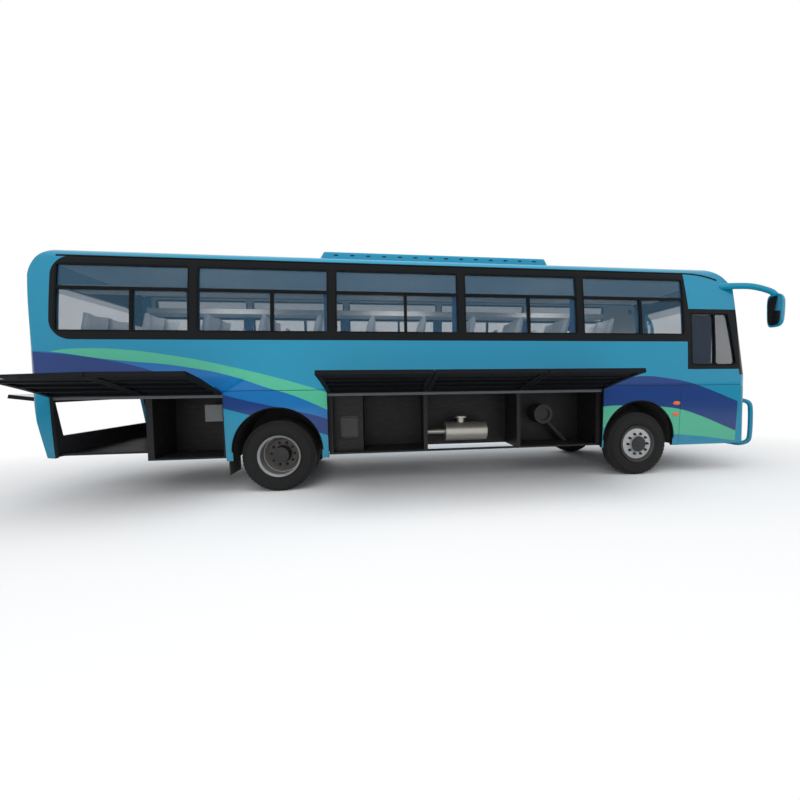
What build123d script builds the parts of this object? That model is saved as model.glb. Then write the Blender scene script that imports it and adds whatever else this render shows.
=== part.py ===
"""A front-engined touring coach, with its right luggage flaps and its rear lid standing open."""
import os
from math import radians, tan

from build123d import *

os.makedirs("parts", exist_ok=True)

# Whole vehicle in millimetres. Design zero is on the ground under the rear axle, +X forward, +Y left.
WHEELBASE = 5600
FRONT_X = WHEELBASE + 2040
REAR_X = -3070
HALF_WIDTH = 1250
ROOF_Z = 3430
SKIRT_Z = 470
WALL = 55
JOINT_GAP = 6
RUN_FIT = 0.3

# Wheels and axles.
TYRE_RADIUS = 510
TYRE_WIDTH = 260
RIM_RADIUS = 300
AXLE_Z = TYRE_RADIUS
FRONT_WHEEL_Y = 1070
REAR_WHEEL_Y = 905
TWIN_SPACING = 310
KINGPIN_Y = 850

# Heights that divide the body side.
FLAP_TOP_Z = 1465
WINDOW_Z0 = 2270
WINDOW_Z1 = 3190
ROOF_SEAM_Z = 3230
FLOOR_Z = 1420
FLOOR_T = 55

# Seams along the side.
REAR_SEAM_X = -2830
REAR_ARCH_X = (-700, 700)
FRONT_ARCH_X = (4965, 6260)
FRONT_SEAM_X = 7400
ROOF_CAP_X = (REAR_X + 770, FRONT_X - 1340)
ROOF_SHEET_Y = 600
SCREEN_Z = 1600
SCREEN_RAKE = 0.168

# Luggage flaps on each side: name, rear end, front end.
FLAPS = [
    ("rear_end", REAR_SEAM_X, -1730),
    ("rear", -1730, REAR_ARCH_X[0]),
    ("mid_rear", REAR_ARCH_X[1], 2133),
    ("mid", 2133, 3604),
    ("mid_front", 3604, FRONT_ARCH_X[0]),
]
FLAP_OPEN = 107

# Passenger door in the left front corner.
DOOR_X = (6420, 7220)
DOOR_Z = (500, 2640)
DOOR_OPEN = 90

# Rear boot opening and its lid.
BOOT_HALF_WIDTH = 960
BOOT_Z = (870, 1385)
LID_OPEN = 107

# Side windows: rear edge, front edge.
WINDOWS = [
    (-2755, -1105),
    (-1015, 747),
    (837, 2641),
    (2731, 4538),
    (4628, 6390),
]
WINDOW_SPLIT_Z = 2855
WINDOW_BAR = 44
WINDOW_RIM = 24
SLIDER_SPLIT = 0.56

RIGHT = -1
LEFT = 1


def block(x, y, z):
    """A block between the two values given along each axis."""
    size = Box(abs(x[1] - x[0]), abs(y[1] - y[0]), abs(z[1] - z[0]))
    return Pos((x[0] + x[1]) / 2, (y[0] + y[1]) / 2, (z[0] + z[1]) / 2) * size


def span(side, inner, outer):
    """The y values of something between two distances from the middle, on one side."""
    return (side * inner, side * outer)


def rod(start, end, radius):
    """A round bar from one point to another."""
    line = Edge.make_line(start, end)
    return extrude(Plane(origin=start, z_dir=line % 0) * Circle(radius), line.length)


def pipe(points, radius, bend):
    """A round tube along straight runs, with an exact bend at each corner."""
    points = [Vector(*point) for point in points]
    starts = [points[0]]
    joined = None
    for before, corner, after in zip(points, points[1:], points[2:]):
        way_in = (corner - before).normalized()
        way_out = (after - corner).normalized()
        turn = way_in.get_angle(way_out)
        reach = bend * tan(radians(turn / 2))
        axis = way_in.cross(way_out).normalized()
        centre = corner - way_in * reach + axis.cross(way_in) * bend
        profile = Plane(origin=corner - way_in * reach, z_dir=way_in) * Circle(radius)
        elbow = revolve(profile, Axis(centre, axis), turn)
        run = rod(tuple(starts[-1]), tuple(corner - way_in * reach), radius)
        joined = joined + run + elbow if joined else run + elbow
        starts.append(corner + way_out * reach)
    return joined + rod(tuple(starts[-1]), tuple(points[-1]), radius)


def flipped(shape):
    """The same piece on the other side of the coach."""
    return mirror(shape, about=Plane.XZ)


# Body form. Cross-section, side view and plan are three profiles, and the body is what they share.
# Each passes clear of the others where they would only touch.
SKIRT_TUCK = 50
BELT_Z = 1540
CANT_Y = 1103
CANT_Z = 3390
COVE_R = 190
ROOF_FRONT_R = 900
ROOF_REAR_R = 450
REAR_TUCK = (150, 600)
FRONT_TUCK = (80, 800)
FRONT_BOW = 60
CLEAR = 8
FRONT_CORNER_R = 250
REAR_CORNER_R = 150


def cross_section(inset):
    """The body's section, seen from behind."""
    right = ThreePointArc((HALF_WIDTH - SKIRT_TUCK, SKIRT_Z), (HALF_WIDTH, BELT_Z), (CANT_Y, CANT_Z))
    crown = ThreePointArc((CANT_Y, CANT_Z), (0, ROOF_Z), (-CANT_Y, CANT_Z))
    left = ThreePointArc((-CANT_Y, CANT_Z), (-HALF_WIDTH, BELT_Z), (SKIRT_TUCK - HALF_WIDTH, SKIRT_Z))
    sill = Line(left @ 1, right @ 0)
    face = make_face([right, crown, left, sill])
    face = fillet(face.vertices().filter_by(lambda v: v.Y > CANT_Z - 1), COVE_R)
    return offset(face, -inset, kind=Kind.INTERSECTION) if inset else face


def side_view(inset):
    """The body's outline from the side, with the tail tucked in and the screen raked."""
    nose = FRONT_X + CLEAR
    top = ROOF_Z + CLEAR
    points = [
        (FLAPS[0][2], SKIRT_Z),
        (REAR_X + REAR_TUCK[0], REAR_TUCK[1]),
        (REAR_X, BELT_Z),
        (REAR_X, top),
        (nose - SCREEN_RAKE * (top - SCREEN_Z), top),
        (nose, SCREEN_Z),
        (nose, FRONT_TUCK[1]),
        (FRONT_X - FRONT_TUCK[0], SKIRT_Z),
    ]
    face = make_face(Polyline(*points, close=True))
    rear_top = face.vertices().filter_by(lambda v: v.Y > top - 1).sort_by(Axis.X)[0]
    face = fillet(rear_top, ROOF_REAR_R)
    front_top = face.vertices().filter_by(lambda v: v.Y > top - 1).sort_by(Axis.X)[-1]
    face = fillet(front_top, ROOF_FRONT_R)
    return offset(face, -inset, kind=Kind.INTERSECTION) if inset else face


def plan_view(inset):
    """The body's outline from above, with a bowed front."""
    nose = ThreePointArc(
        (FRONT_X - FRONT_BOW, -HALF_WIDTH - CLEAR), (FRONT_X, 0), (FRONT_X - FRONT_BOW, HALF_WIDTH + CLEAR)
    )
    left = Line(nose @ 1, (REAR_X - CLEAR, HALF_WIDTH + CLEAR))
    tail = Line(left @ 1, (REAR_X - CLEAR, -HALF_WIDTH - CLEAR))
    right = Line(tail @ 1, nose @ 0)
    face = make_face([nose, left, tail, right])
    face = fillet(face.vertices().sort_by(Axis.X)[2:], FRONT_CORNER_R)
    face = fillet(face.vertices().sort_by(Axis.X)[:2], REAR_CORNER_R)
    return offset(face, -inset, kind=Kind.INTERSECTION) if inset else face


def raked(face, foot):
    """A plan profile carried straight up to a foot, and from there along the screen's rake."""
    height = ROOF_Z + 400 - foot
    rise = (height**2 * (1 + SCREEN_RAKE**2)) ** 0.5
    lower = extrude(face, foot)
    upper = extrude(Pos(0, 0, foot) * face, rise, dir=(-SCREEN_RAKE, 0, 1))
    return lower + upper


def body_form(inset):
    """The whole body as one solid. Inside the skin it runs on downwards, so that walls have no floor."""
    length = extrude(Plane.YZ.offset(REAR_X - 500) * cross_section(inset), FRONT_X - REAR_X + 1000)
    height = extrude(Plane.XZ * side_view(inset), HALF_WIDTH + 200, both=True)
    if inset:
        foot = HALF_WIDTH - SKIRT_TUCK - inset
        ends = (REAR_X + REAR_TUCK[0] + inset, FRONT_X - FRONT_TUCK[0] - inset)
        length += block((REAR_X - 500, FRONT_X + 500), (-foot, foot), (100, SKIRT_Z + inset + 1))
        height += block(ends, (-HALF_WIDTH - 200, HALF_WIDTH + 200), (100, REAR_TUCK[1] + inset + 1))
    plan = plan_view(inset)
    front = raked(plan, SCREEN_Z) & block((FRONT_X - 2500, FRONT_X + 500), (-2000, 2000), (0, 4000))
    rest = extrude(plan, 4000) & block((REAR_X - 500, FRONT_X - 2500), (-2000, 2000), (0, 4000))
    return length & height & (front + rest)


OUTER = body_form(0)
INNER = body_form(WALL)
SHELL = OUTER - INNER
GLASS_SKIN = body_form(20) - body_form(30)
NODES = {}


# Hinges: a fixed ear with a pin beside a moving ear with a bore, on the skin's edge.
EAR_R = 14
EAR_LENGTH = 36
PIN_R = 6


def hinge(axis, along):
    """One hinge on an axis, at a distance along it: fixed ear with pin, moving ear, and room for each."""
    def ring(start, length, radius):
        foot = axis.position + axis.direction * start
        return rod(tuple(foot), tuple(foot + axis.direction * length), radius)

    second = along + EAR_LENGTH + JOINT_GAP
    fixed = ring(along, EAR_LENGTH, EAR_R) + ring(along, 2 * EAR_LENGTH + JOINT_GAP, PIN_R)
    moving = ring(second, EAR_LENGTH, EAR_R)
    bore = ring(second - 1, EAR_LENGTH + 2, PIN_R + RUN_FIT)
    fixed_room = ring(along - JOINT_GAP, EAR_LENGTH + 2 * JOINT_GAP, EAR_R + JOINT_GAP)
    moving_room = ring(second - JOINT_GAP, EAR_LENGTH + 2 * JOINT_GAP, EAR_R + JOINT_GAP)
    return fixed, moving, bore, fixed_room, moving_room


def with_fixed(panel, axis, places):
    """A panel with the fixed half of each hinge."""
    for along in places:
        fixed, moving, bore, fixed_room, moving_room = hinge(axis, along)
        panel = (panel - moving_room) + fixed
    return panel


def with_moving(panel, axis, places):
    """A leaf with the moving half of each hinge."""
    for along in places:
        fixed, moving, bore, fixed_room, moving_room = hinge(axis, along)
        panel = ((panel - fixed_room) + moving) - bore
    return panel


def flap_hinge(side):
    """The line along the skin that a side's flaps turn about."""
    return Axis((0, side * HALF_WIDTH, FLAP_TOP_Z - JOINT_GAP), (1, 0, 0))


def flap_hinge_places(x0, x1):
    """Where a flap's two hinges are."""
    return [x0 + 0.15 * (x1 - x0), x0 + 0.82 * (x1 - x0)]


LID_HINGE_X = REAR_X + REAR_TUCK[0] * (BELT_Z - BOOT_Z[1] + JOINT_GAP) / (BELT_Z - REAR_TUCK[1])
LID_HINGE = Axis((LID_HINGE_X, 0, BOOT_Z[1] - JOINT_GAP), (0, 1, 0))
LID_HINGE_PLACES = [-650, 580]
DOOR_HINGE = Axis((DOOR_X[1] - JOINT_GAP, HALF_WIDTH, 0), (0, 0, 1))
DOOR_HINGE_PLACES = [1260, 1740]


# Body panels are cut from the shell along the coach's real seams.
FAR = 9000
FRONT_ZONE = raked(Pos((FRONT_SEAM_X + FAR) / 2, 0) * Rectangle(FAR - FRONT_SEAM_X, 4000), SCREEN_Z - 60)
FRONT_ZONE += block((FRONT_X - 900, FAR), (-1040, 1040), (SCREEN_Z + 300, ROOF_SEAM_Z))
REAR_ZONE = block((-FAR, REAR_SEAM_X), (-2000, 2000), (0, ROOF_SEAM_Z))
ROOF_ZONE = block((-FAR, FAR), (-2000, 2000), (ROOF_SEAM_Z, FAR))
ARCH_R = 610
ARCH_Z = 595


def wheel_arches(side):
    """The two wheel openings of one side."""
    cut = []
    for axle_x in (0, WHEELBASE):
        y = span(side, 900, 1400)
        cut.append(rod((axle_x, y[0], ARCH_Z), (axle_x, y[1], ARCH_Z), ARCH_R))
        cut.append(block((axle_x - ARCH_R, axle_x + ARCH_R), y, (0, ARCH_Z)))
    return cut


def window_hole(side, x, z, corner):
    """One window opening through a side wall, with rounded corners."""
    outline = RectangleRounded(x[1] - x[0], z[1] - z[0], corner) if corner else Rectangle(x[1] - x[0], z[1] - z[0])
    outline = Pos((x[0] + x[1]) / 2, (z[0] + z[1]) / 2) * outline
    return extrude(Plane.XZ.offset(-side * 1200) * outline, 250, both=True)


def window_panes(side, x):
    """The three pane openings of one window: a fixed top light and two sliders under it."""
    middle = x[0] + SLIDER_SPLIT * (x[1] - x[0])
    low = (WINDOW_Z0 + WINDOW_RIM, WINDOW_SPLIT_Z - WINDOW_BAR / 2)
    high = (WINDOW_SPLIT_Z + WINDOW_BAR / 2, WINDOW_Z1 - WINDOW_RIM)
    bays = [
        ((x[0] + WINDOW_RIM, x[1] - WINDOW_RIM), high),
        ((x[0] + WINDOW_RIM, middle - WINDOW_BAR / 2), low),
        ((middle + WINDOW_BAR / 2, x[1] - WINDOW_RIM), low),
    ]
    return [window_hole(side, across, up, 0) for across, up in bays]


# Driver's window, whose front edge follows the screen's rake.
CAB_WINDOW_X = (6490, 7370)
CAB_WINDOW_Z = (1775, 2640)
CAB_SPLIT_X = 6930


def cab_window(inset, x0, x1):
    """A raked four-sided opening in the right wall beside the driver."""
    z0 = CAB_WINDOW_Z[0] + inset
    z1 = CAB_WINDOW_Z[1] - inset
    lean = SCREEN_RAKE if x1 > CAB_SPLIT_X + 200 else 0
    points = [
        (x0, z0),
        (x1 - lean * (z0 - SCREEN_Z), z0),
        (x1 - lean * (z1 - SCREEN_Z), z1),
        (x0, z1),
    ]
    face = make_face(Polyline(*points, close=True))
    face = fillet(face.vertices(), 45)
    return extrude(Plane.XZ.offset(1200) * face, 250, both=True)


CAB_HOLE = cab_window(0, CAB_WINDOW_X[0], CAB_WINDOW_X[1])
CAB_PANES = [
    cab_window(WINDOW_RIM, CAB_WINDOW_X[0] + WINDOW_RIM, CAB_SPLIT_X - WINDOW_RIM / 2),
    cab_window(WINDOW_RIM, CAB_SPLIT_X + WINDOW_RIM / 2, CAB_WINDOW_X[1] - WINDOW_RIM),
]
DOOR_ZONE = block(DOOR_X, (1000, 1500), DOOR_Z)
WINDOW_CORNER = 70


def side_wall(side):
    """One wall between the flaps' hinge line and the roof, its windows cut."""
    zone = block((REAR_SEAM_X, FAR), span(side, 900, 2000), (FLAP_TOP_Z, ROOF_SEAM_Z))
    wall = (SHELL & zone) - FRONT_ZONE
    holes = [window_hole(side, x, (WINDOW_Z0, WINDOW_Z1), WINDOW_CORNER) for x in WINDOWS]
    holes.append(CAB_HOLE if side == RIGHT else DOOR_ZONE)
    places = [along for name, x0, x1 in FLAPS for along in flap_hinge_places(x0, x1)]
    wall = with_fixed(wall - holes, flap_hinge(side), places)
    return with_fixed(wall, DOOR_HINGE, DOOR_HINGE_PLACES[1:]) if side == LEFT else wall


def side_panels(side):
    """The fixed panels under the hinge line: both arches and the front corner."""
    under = (0, FLAP_TOP_Z)
    wide = span(side, 900, 2000)
    front_end = FAR if side == RIGHT else DOOR_X[0]
    zones = [block(REAR_ARCH_X, wide, under), block((FRONT_ARCH_X[0], front_end), wide, under)]
    if side == LEFT:
        zones.append(block((DOOR_X[1], FAR), wide, under))
    shell = SHELL - FRONT_ZONE
    panels = [(shell & zone) - wheel_arches(side) for zone in zones]
    if side == LEFT:
        panels[-1] = with_fixed(panels[-1], DOOR_HINGE, DOOR_HINGE_PLACES[:1])
    return Compound([solid for panel in panels for solid in panel.solids()])


def glazing():
    """The frames and the panes of the side windows, the right side's and then the left's."""
    frames = []
    panes = []
    for x in WINDOWS:
        hole = window_hole(RIGHT, x, (WINDOW_Z0, WINDOW_Z1), WINDOW_CORNER)
        lights = window_panes(RIGHT, x)
        frames += ((SHELL & hole) - lights).solids()
        panes += [(GLASS_SKIN & light).solids()[0] for light in lights]
    frames += [flipped(piece) for piece in frames]
    panes += [flipped(piece) for piece in panes]
    frames += ((SHELL & CAB_HOLE) - CAB_PANES).solids()
    panes += [(GLASS_SKIN & light).solids()[0] for light in CAB_PANES]
    return frames, panes


# Windscreen and rear window, as openings seen from the front.
SCREEN_HALF = (1090, 1000)
SCREEN_EDGE_Z = (1660, 3000)
REAR_LIGHT_HALF = 880
REAR_LIGHT_Z = (2250, 2960)


def screen_hole():
    """The windscreen opening, narrower at the top."""
    points = [
        (-SCREEN_HALF[0], SCREEN_EDGE_Z[0]),
        (SCREEN_HALF[0], SCREEN_EDGE_Z[0]),
        (SCREEN_HALF[1], SCREEN_EDGE_Z[1]),
        (-SCREEN_HALF[1], SCREEN_EDGE_Z[1]),
    ]
    face = make_face(Polyline(*points, close=True))
    face = fillet(face.vertices(), 120)
    return extrude(Plane.YZ.offset(FRONT_X - 900) * face, 1200)


def rear_light_hole():
    """The rear window opening."""
    middle = (REAR_LIGHT_Z[0] + REAR_LIGHT_Z[1]) / 2
    outline = RectangleRounded(2 * REAR_LIGHT_HALF, REAR_LIGHT_Z[1] - REAR_LIGHT_Z[0], 120)
    return extrude(Plane.YZ.offset(REAR_X - 200) * Pos(0, middle) * outline, 500)


BOOT_HOLE = block((REAR_X - 200, REAR_SEAM_X + 300), (-BOOT_HALF_WIDTH, BOOT_HALF_WIDTH), BOOT_Z)
BUMPER_TOP_Z = 980
LAMP_Z = (1010, 1250)
LAMP_Y = (640, 1130)


def front_panel():
    """The moulded front end with the windscreen and headlamp openings."""
    front = ((SHELL & FRONT_ZONE) - ROOF_ZONE) - screen_hole()
    front = front & block((0, FAR), (-2000, 2000), (BUMPER_TOP_Z, FAR))
    return front - [lamp_hole(side) for side in (RIGHT, LEFT)]


def front_bumper():
    """The bumper across the front below the panel."""
    return SHELL & FRONT_ZONE & block((0, FAR), (-2000, 2000), (0, BUMPER_TOP_Z))


def lamp_hole(side):
    """The opening for one headlamp."""
    return block((FRONT_SEAM_X + 60, FAR), span(side, LAMP_Y[0], LAMP_Y[1]), LAMP_Z)


def rear_panel():
    """The tail with its rear window and boot opening, above the boot floor."""
    return with_fixed((SHELL & REAR_ZONE) - [rear_light_hole(), BOOT_HOLE], LID_HINGE, LID_HINGE_PLACES)


def roof_panel():
    """The roof's five panels: a cap at each end, and a middle sheet between two cove panels."""
    whole = SHELL & ROOF_ZONE
    tail, nose = ROOF_CAP_X
    zones = [
        # along x, across y
        ((-FAR, tail), (-FAR, FAR)),
        ((tail, nose), (-FAR, -ROOF_SHEET_Y)),
        ((tail, nose), (-ROOF_SHEET_Y, ROOF_SHEET_Y)),
        ((tail, nose), (ROOF_SHEET_Y, FAR)),
        ((nose, FAR), (-FAR, FAR)),
    ]
    return Compound([s for x, y in zones for s in (whole & block(x, y, (0, FAR))).solids()])


NODES["roof"] = roof_panel()
NODES["side_wall_right"] = side_wall(RIGHT)
NODES["side_wall_left"] = side_wall(LEFT)
NODES["side_panels_right"] = side_panels(RIGHT)
NODES["side_panels_left"] = side_panels(LEFT)
NODES["front_panel"] = front_panel()
NODES["front_bumper"] = front_bumper()
NODES["rear_panel"] = rear_panel()
window_frames, side_panes = glazing()
NODES["window_frames"] = Compound(window_frames)
NODES["side_glass"] = Compound(side_panes)
screens = [GLASS_SKIN & screen_hole() & FRONT_ZONE, GLASS_SKIN & rear_light_hole()]
NODES["screens"] = Compound([screen.solids()[0] for screen in screens])


# Flaps, door and lid are pieces of the same shell, hinged on the skin's edge.
FLAP_RIBS = 4
FLAP_RIB_DEPTH = 30


def flap(side, x0, x1):
    """One luggage flap, closed, with long pressed panels on its inner face."""
    zone = block(
        (x0 + JOINT_GAP, x1 - JOINT_GAP), span(side, 900, 2000), (0, FLAP_TOP_Z - JOINT_GAP)
    )
    panel = SHELL & zone
    pitch = (FLAP_TOP_Z - SKIRT_Z - 90) / FLAP_RIBS
    pockets = []
    for row in range(FLAP_RIBS):
        z0 = SKIRT_Z + 75 + row * pitch
        depth = HALF_WIDTH - WALL + FLAP_RIB_DEPTH - (45 if row == 0 else 15 if row == 1 else 0)
        pockets.append(block((x0 + 70, x1 - 70), span(side, 1000, depth), (z0, z0 + pitch - 35)))
    return with_moving(panel - pockets, flap_hinge(side), flap_hinge_places(x0, x1))


for name, x0, x1 in FLAPS:
    closed = flap(RIGHT, x0, x1)
    NODES[f"flap_right_{name}"] = closed.rotate(flap_hinge(RIGHT), -FLAP_OPEN)
    NODES[f"flap_left_{name}"] = flap(LEFT, x0, x1)


def rear_lid():
    """The boot lid, shut."""
    half = BOOT_HALF_WIDTH - JOINT_GAP
    zone = block((-FAR, REAR_SEAM_X + 100), (-half, half), (BOOT_Z[0] + JOINT_GAP, BOOT_Z[1] - JOINT_GAP))
    return with_moving(SHELL & zone, LID_HINGE, LID_HINGE_PLACES)


NODES["rear_lid"] = rear_lid().rotate(LID_HINGE, LID_OPEN)

DOOR_LIGHT_X = (6500, 7140)
DOOR_LIGHT_Z = (1250, 2540)


def passenger_door():
    """The passenger door with its tall window cut, and the pane."""
    zone = block(
        (DOOR_X[0] + JOINT_GAP, DOOR_X[1] - JOINT_GAP),
        (1000, 2000),
        (DOOR_Z[0] + JOINT_GAP, DOOR_Z[1] - JOINT_GAP),
    )
    light = window_hole(LEFT, DOOR_LIGHT_X, DOOR_LIGHT_Z, 80)
    return with_moving((SHELL & zone) - light, DOOR_HINGE, DOOR_HINGE_PLACES), GLASS_SKIN & light


NODES["passenger_door"], NODES["door_glass"] = passenger_door()


# Floor: one deck, a lower platform for the driver, the engine cover and three steps at the door.
DECK_END_X = 6290
COVER_HALF = 400
CAB_FLOOR_Z = 1000
STEPS = [
    # outer y, inner y, top z
    (1135, 850, 560),
    (850, 620, 850),
    (620, COVER_HALF, 1140),
]
STEP_X = (6425, 7300)
STEP_T = 40


def floor():
    """Everything that is walked on: the deck, the driver's platform, the engine cover and the steps."""
    deck_z = (FLOOR_Z - FLOOR_T, FLOOR_Z)
    pieces = block((REAR_X, DECK_END_X), (-HALF_WIDTH, HALF_WIDTH), deck_z)
    for side in (RIGHT, LEFT):
        riser = span(side, COVER_HALF - STEP_T, 1130)
        pieces += block((DECK_END_X - STEP_T, DECK_END_X), riser, (CAB_FLOOR_Z - 40, FLOOR_Z))
    pieces += block((DECK_END_X, FRONT_X), (-HALF_WIDTH, -COVER_HALF), (CAB_FLOOR_Z - 40, CAB_FLOOR_Z))
    cover = block((DECK_END_X, STEP_X[1] + 100), (-COVER_HALF, COVER_HALF), (CAB_FLOOR_Z - 40, FLOOR_Z))
    hollow = (-COVER_HALF + STEP_T, COVER_HALF - STEP_T)
    pieces += cover - block((0, STEP_X[1] + 60), hollow, (0, FLOOR_Z - STEP_T))
    above = CAB_FLOOR_Z
    for outer, inner, top in STEPS[::-1]:
        pieces += block(STEP_X, (inner, outer), (top - STEP_T, top))
        pieces += block(STEP_X, (inner, inner + STEP_T), (top - STEP_T, max(above, top)))
        above = top
    whole = pieces & INNER
    front = (DECK_END_X - STEP_T, FAR)
    zones = [
        # along x, across y
        ((-FAR, front[0]), (-FAR, FAR)),
        (front, (-FAR, -COVER_HALF)),
        (front, (-COVER_HALF, COVER_HALF)),
        (front, (COVER_HALF, FAR)),
    ]
    return Compound([s for x, y in zones for s in (whole & block(x, y, (0, FAR))).solids()])


NODES["floor"] = floor()


# Luggage bays on each side of the frame: floors, partitions, posts and back walls of folded sheet.
BAY_OUTER_Y = 1125
BAY_INNER_Y = 470
BAY_FLOOR_Z = (500, 525)
BAY_TOP_Z = FLOOR_Z - FLOOR_T
SHEET = 25
POST = 60
BOOT_X = (REAR_X + REAR_TUCK[0] + WALL + 15, FLAPS[0][2])
BOOT_FLOOR_Z = (REAR_TUCK[1] + 10, REAR_TUCK[1] + 40)
OPEN_BAY = "mid"


def bay(side, x0, x1, floored):
    """One bay: a back wall and, where it has one, a floor."""
    walls = block((x0, x1), span(side, BAY_INNER_Y, BAY_INNER_Y + SHEET), (BAY_FLOOR_Z[0], BAY_TOP_Z))
    if floored:
        walls += block((x0, x1), span(side, BAY_INNER_Y, BAY_OUTER_Y), BAY_FLOOR_Z)
    else:
        walls += block((x0, x1), span(side, BAY_OUTER_Y - POST, BAY_OUTER_Y), BAY_FLOOR_Z)
    return walls


def partition(side, x, thick):
    """A wall across the bays, with a post on its outer edge."""
    wall = block((x - thick / 2, x + thick / 2), span(side, BAY_INNER_Y, BAY_OUTER_Y), (BAY_FLOOR_Z[0], BAY_TOP_Z))
    outer = span(side, BAY_OUTER_Y - POST, BAY_OUTER_Y)
    return wall + block((x - POST / 2, x + POST / 2), outer, (BAY_FLOOR_Z[0], BAY_TOP_Z))


def bays(side):
    """The bays of one side between the axles, in one welded piece."""
    joined = None
    for name, x0, x1 in FLAPS[2:]:
        walls = bay(side, x0, x1, name != OPEN_BAY)
        joined = joined + walls if joined else walls
    for x in (FLAPS[2][1] + POST / 2, FLAPS[2][2], FLAPS[3][2], FLAPS[4][2] - POST / 2):
        joined += partition(side, x, SHEET)
    cabinet = block((REAR_ARCH_X[1], 1190), span(side, BAY_INNER_Y, 1000), (BAY_FLOOR_Z[0], BAY_TOP_Z))
    hatch = block((830, 1110), span(side, 985, 1001), (700, 1090))
    return joined + (cabinet - hatch)


def rear_bays():
    """The boot, with a floor from side to side, and the two bays behind the rear wheels."""
    half = BAY_OUTER_Y
    joined = block(BOOT_X, (-half, half), BOOT_FLOOR_Z)
    joined += block((BOOT_X[1] - SHEET, BOOT_X[1]), (-half, half), (BAY_FLOOR_Z[0], BAY_TOP_Z))
    for side in (RIGHT, LEFT):
        joined += bay(side, FLAPS[1][1], FLAPS[1][2], True)
        joined += partition(side, FLAPS[1][1] + POST / 2, SHEET)
        joined += partition(side, FLAPS[1][2] - POST / 2, SHEET)
    return joined


NODES["bays_right"] = bays(RIGHT)
NODES["bays_left"] = bays(LEFT)
NODES["rear_bays"] = rear_bays()


# Ladder frame with its cross members, and the running gear under it.
RAIL_Y = (380, 440)
RAIL_Z = (640, 880)
RAIL_X = (FLAPS[0][2] + 40, 7300)
CROSS_MEMBERS_X = [-1500, -520, 520, 1500, 2900, 4300, 5050, 7200]
SPRING_Z = (585, 638)
SPRING_HALF = (650, 560)


def frame():
    """Two rails, their cross members and the hangers that hold the deck."""
    rails = block(RAIL_X, (RAIL_Y[0], RAIL_Y[1]), RAIL_Z)
    rails += block(RAIL_X, (-RAIL_Y[1], -RAIL_Y[0]), RAIL_Z)
    for x in CROSS_MEMBERS_X:
        rails += block((x - 40, x + 40), (-RAIL_Y[0], RAIL_Y[0]), (RAIL_Z[1] - 110, RAIL_Z[1] - 10))
    for x in (-1300, 400, 1800, 3200, 4600):
        for side in (RIGHT, LEFT):
            rails += block((x - 40, x + 40), span(side, RAIL_Y[0], RAIL_Y[1]), (RAIL_Z[1], BAY_TOP_Z))
    for side in (RIGHT, LEFT):
        for x in (900, 2000, 3700, 4800, -900, -1600):
            rails += block((x - 40, x + 40), span(side, RAIL_Y[1], BAY_INNER_Y), (RAIL_Z[0] + 40, RAIL_Z[1] - 40))
    return rails


def leaf_spring(axle_x, side, z0):
    """A pack of leaves lying along a rail, with a hanger at each end."""
    y = span(side, RAIL_Y[0], RAIL_Y[1])
    pack = block((axle_x - SPRING_HALF[0], axle_x + SPRING_HALF[0]), y, (z0 + 18, z0 + 36))
    pack += block((axle_x - SPRING_HALF[1] + 150, axle_x + SPRING_HALF[1] - 150), y, (z0, z0 + 18))
    for end in (-1, 1):
        x = axle_x + end * (SPRING_HALF[0] - 30)
        pack += block((x - 30, x + 30), y, (z0 + 36, RAIL_Z[0]))
    return pack


def engine():
    """The engine and gearbox as one plain block between the rails."""
    joined = block((5850, 7050), (-330, 330), (620, 1340))
    joined += block((5200, 5850), (-200, 200), (640, 1000))
    for x in (6050, 6850):
        joined += block((x - 60, x + 60), (-RAIL_Y[0], RAIL_Y[0]), (700, 780))
    return joined + shaft_stub(SHAFT_FRONT, 200)


def shaft_stub(end, reach):
    """A flange shaft on the propeller shaft's own line, past one of its ends."""
    line = Edge.make_line(SHAFT_REAR, SHAFT_FRONT) % 0
    beyond = Vector(end) + line * reach
    return rod(end, tuple(beyond), SHAFT_R)


REAR_HUB_Y = 690
FRONT_BEAM_Z = (400, 500)
DIFF_R = 190
REAR_SPINDLE_R = 45
SHAFT_REAR = (300, 0, AXLE_Z + 10)
SHAFT_FRONT = (5170, 0, 715)
SHAFT_R = 45


def rear_axle():
    """A banjo axle: tube, differential and the spindles that carry the twin wheels."""
    tube = rod((0, -REAR_HUB_Y, AXLE_Z), (0, REAR_HUB_Y, AXLE_Z), 72)
    tube += rod((-DIFF_R, 0, AXLE_Z), (DIFF_R, 0, AXLE_Z), DIFF_R)
    tube += shaft_stub(SHAFT_REAR, -200)
    tube += rod((0, -REAR_WHEEL_Y - 120, AXLE_Z), (0, REAR_WHEEL_Y + 120, AXLE_Z), REAR_SPINDLE_R)
    for side in (RIGHT, LEFT):
        tube += block((-90, 90), span(side, RAIL_Y[0], RAIL_Y[1]), (AXLE_Z, SPRING_Z[0]))
    return tube


KNUCKLE_LUG_Z = 66
KINGPIN_R = 22


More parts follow.
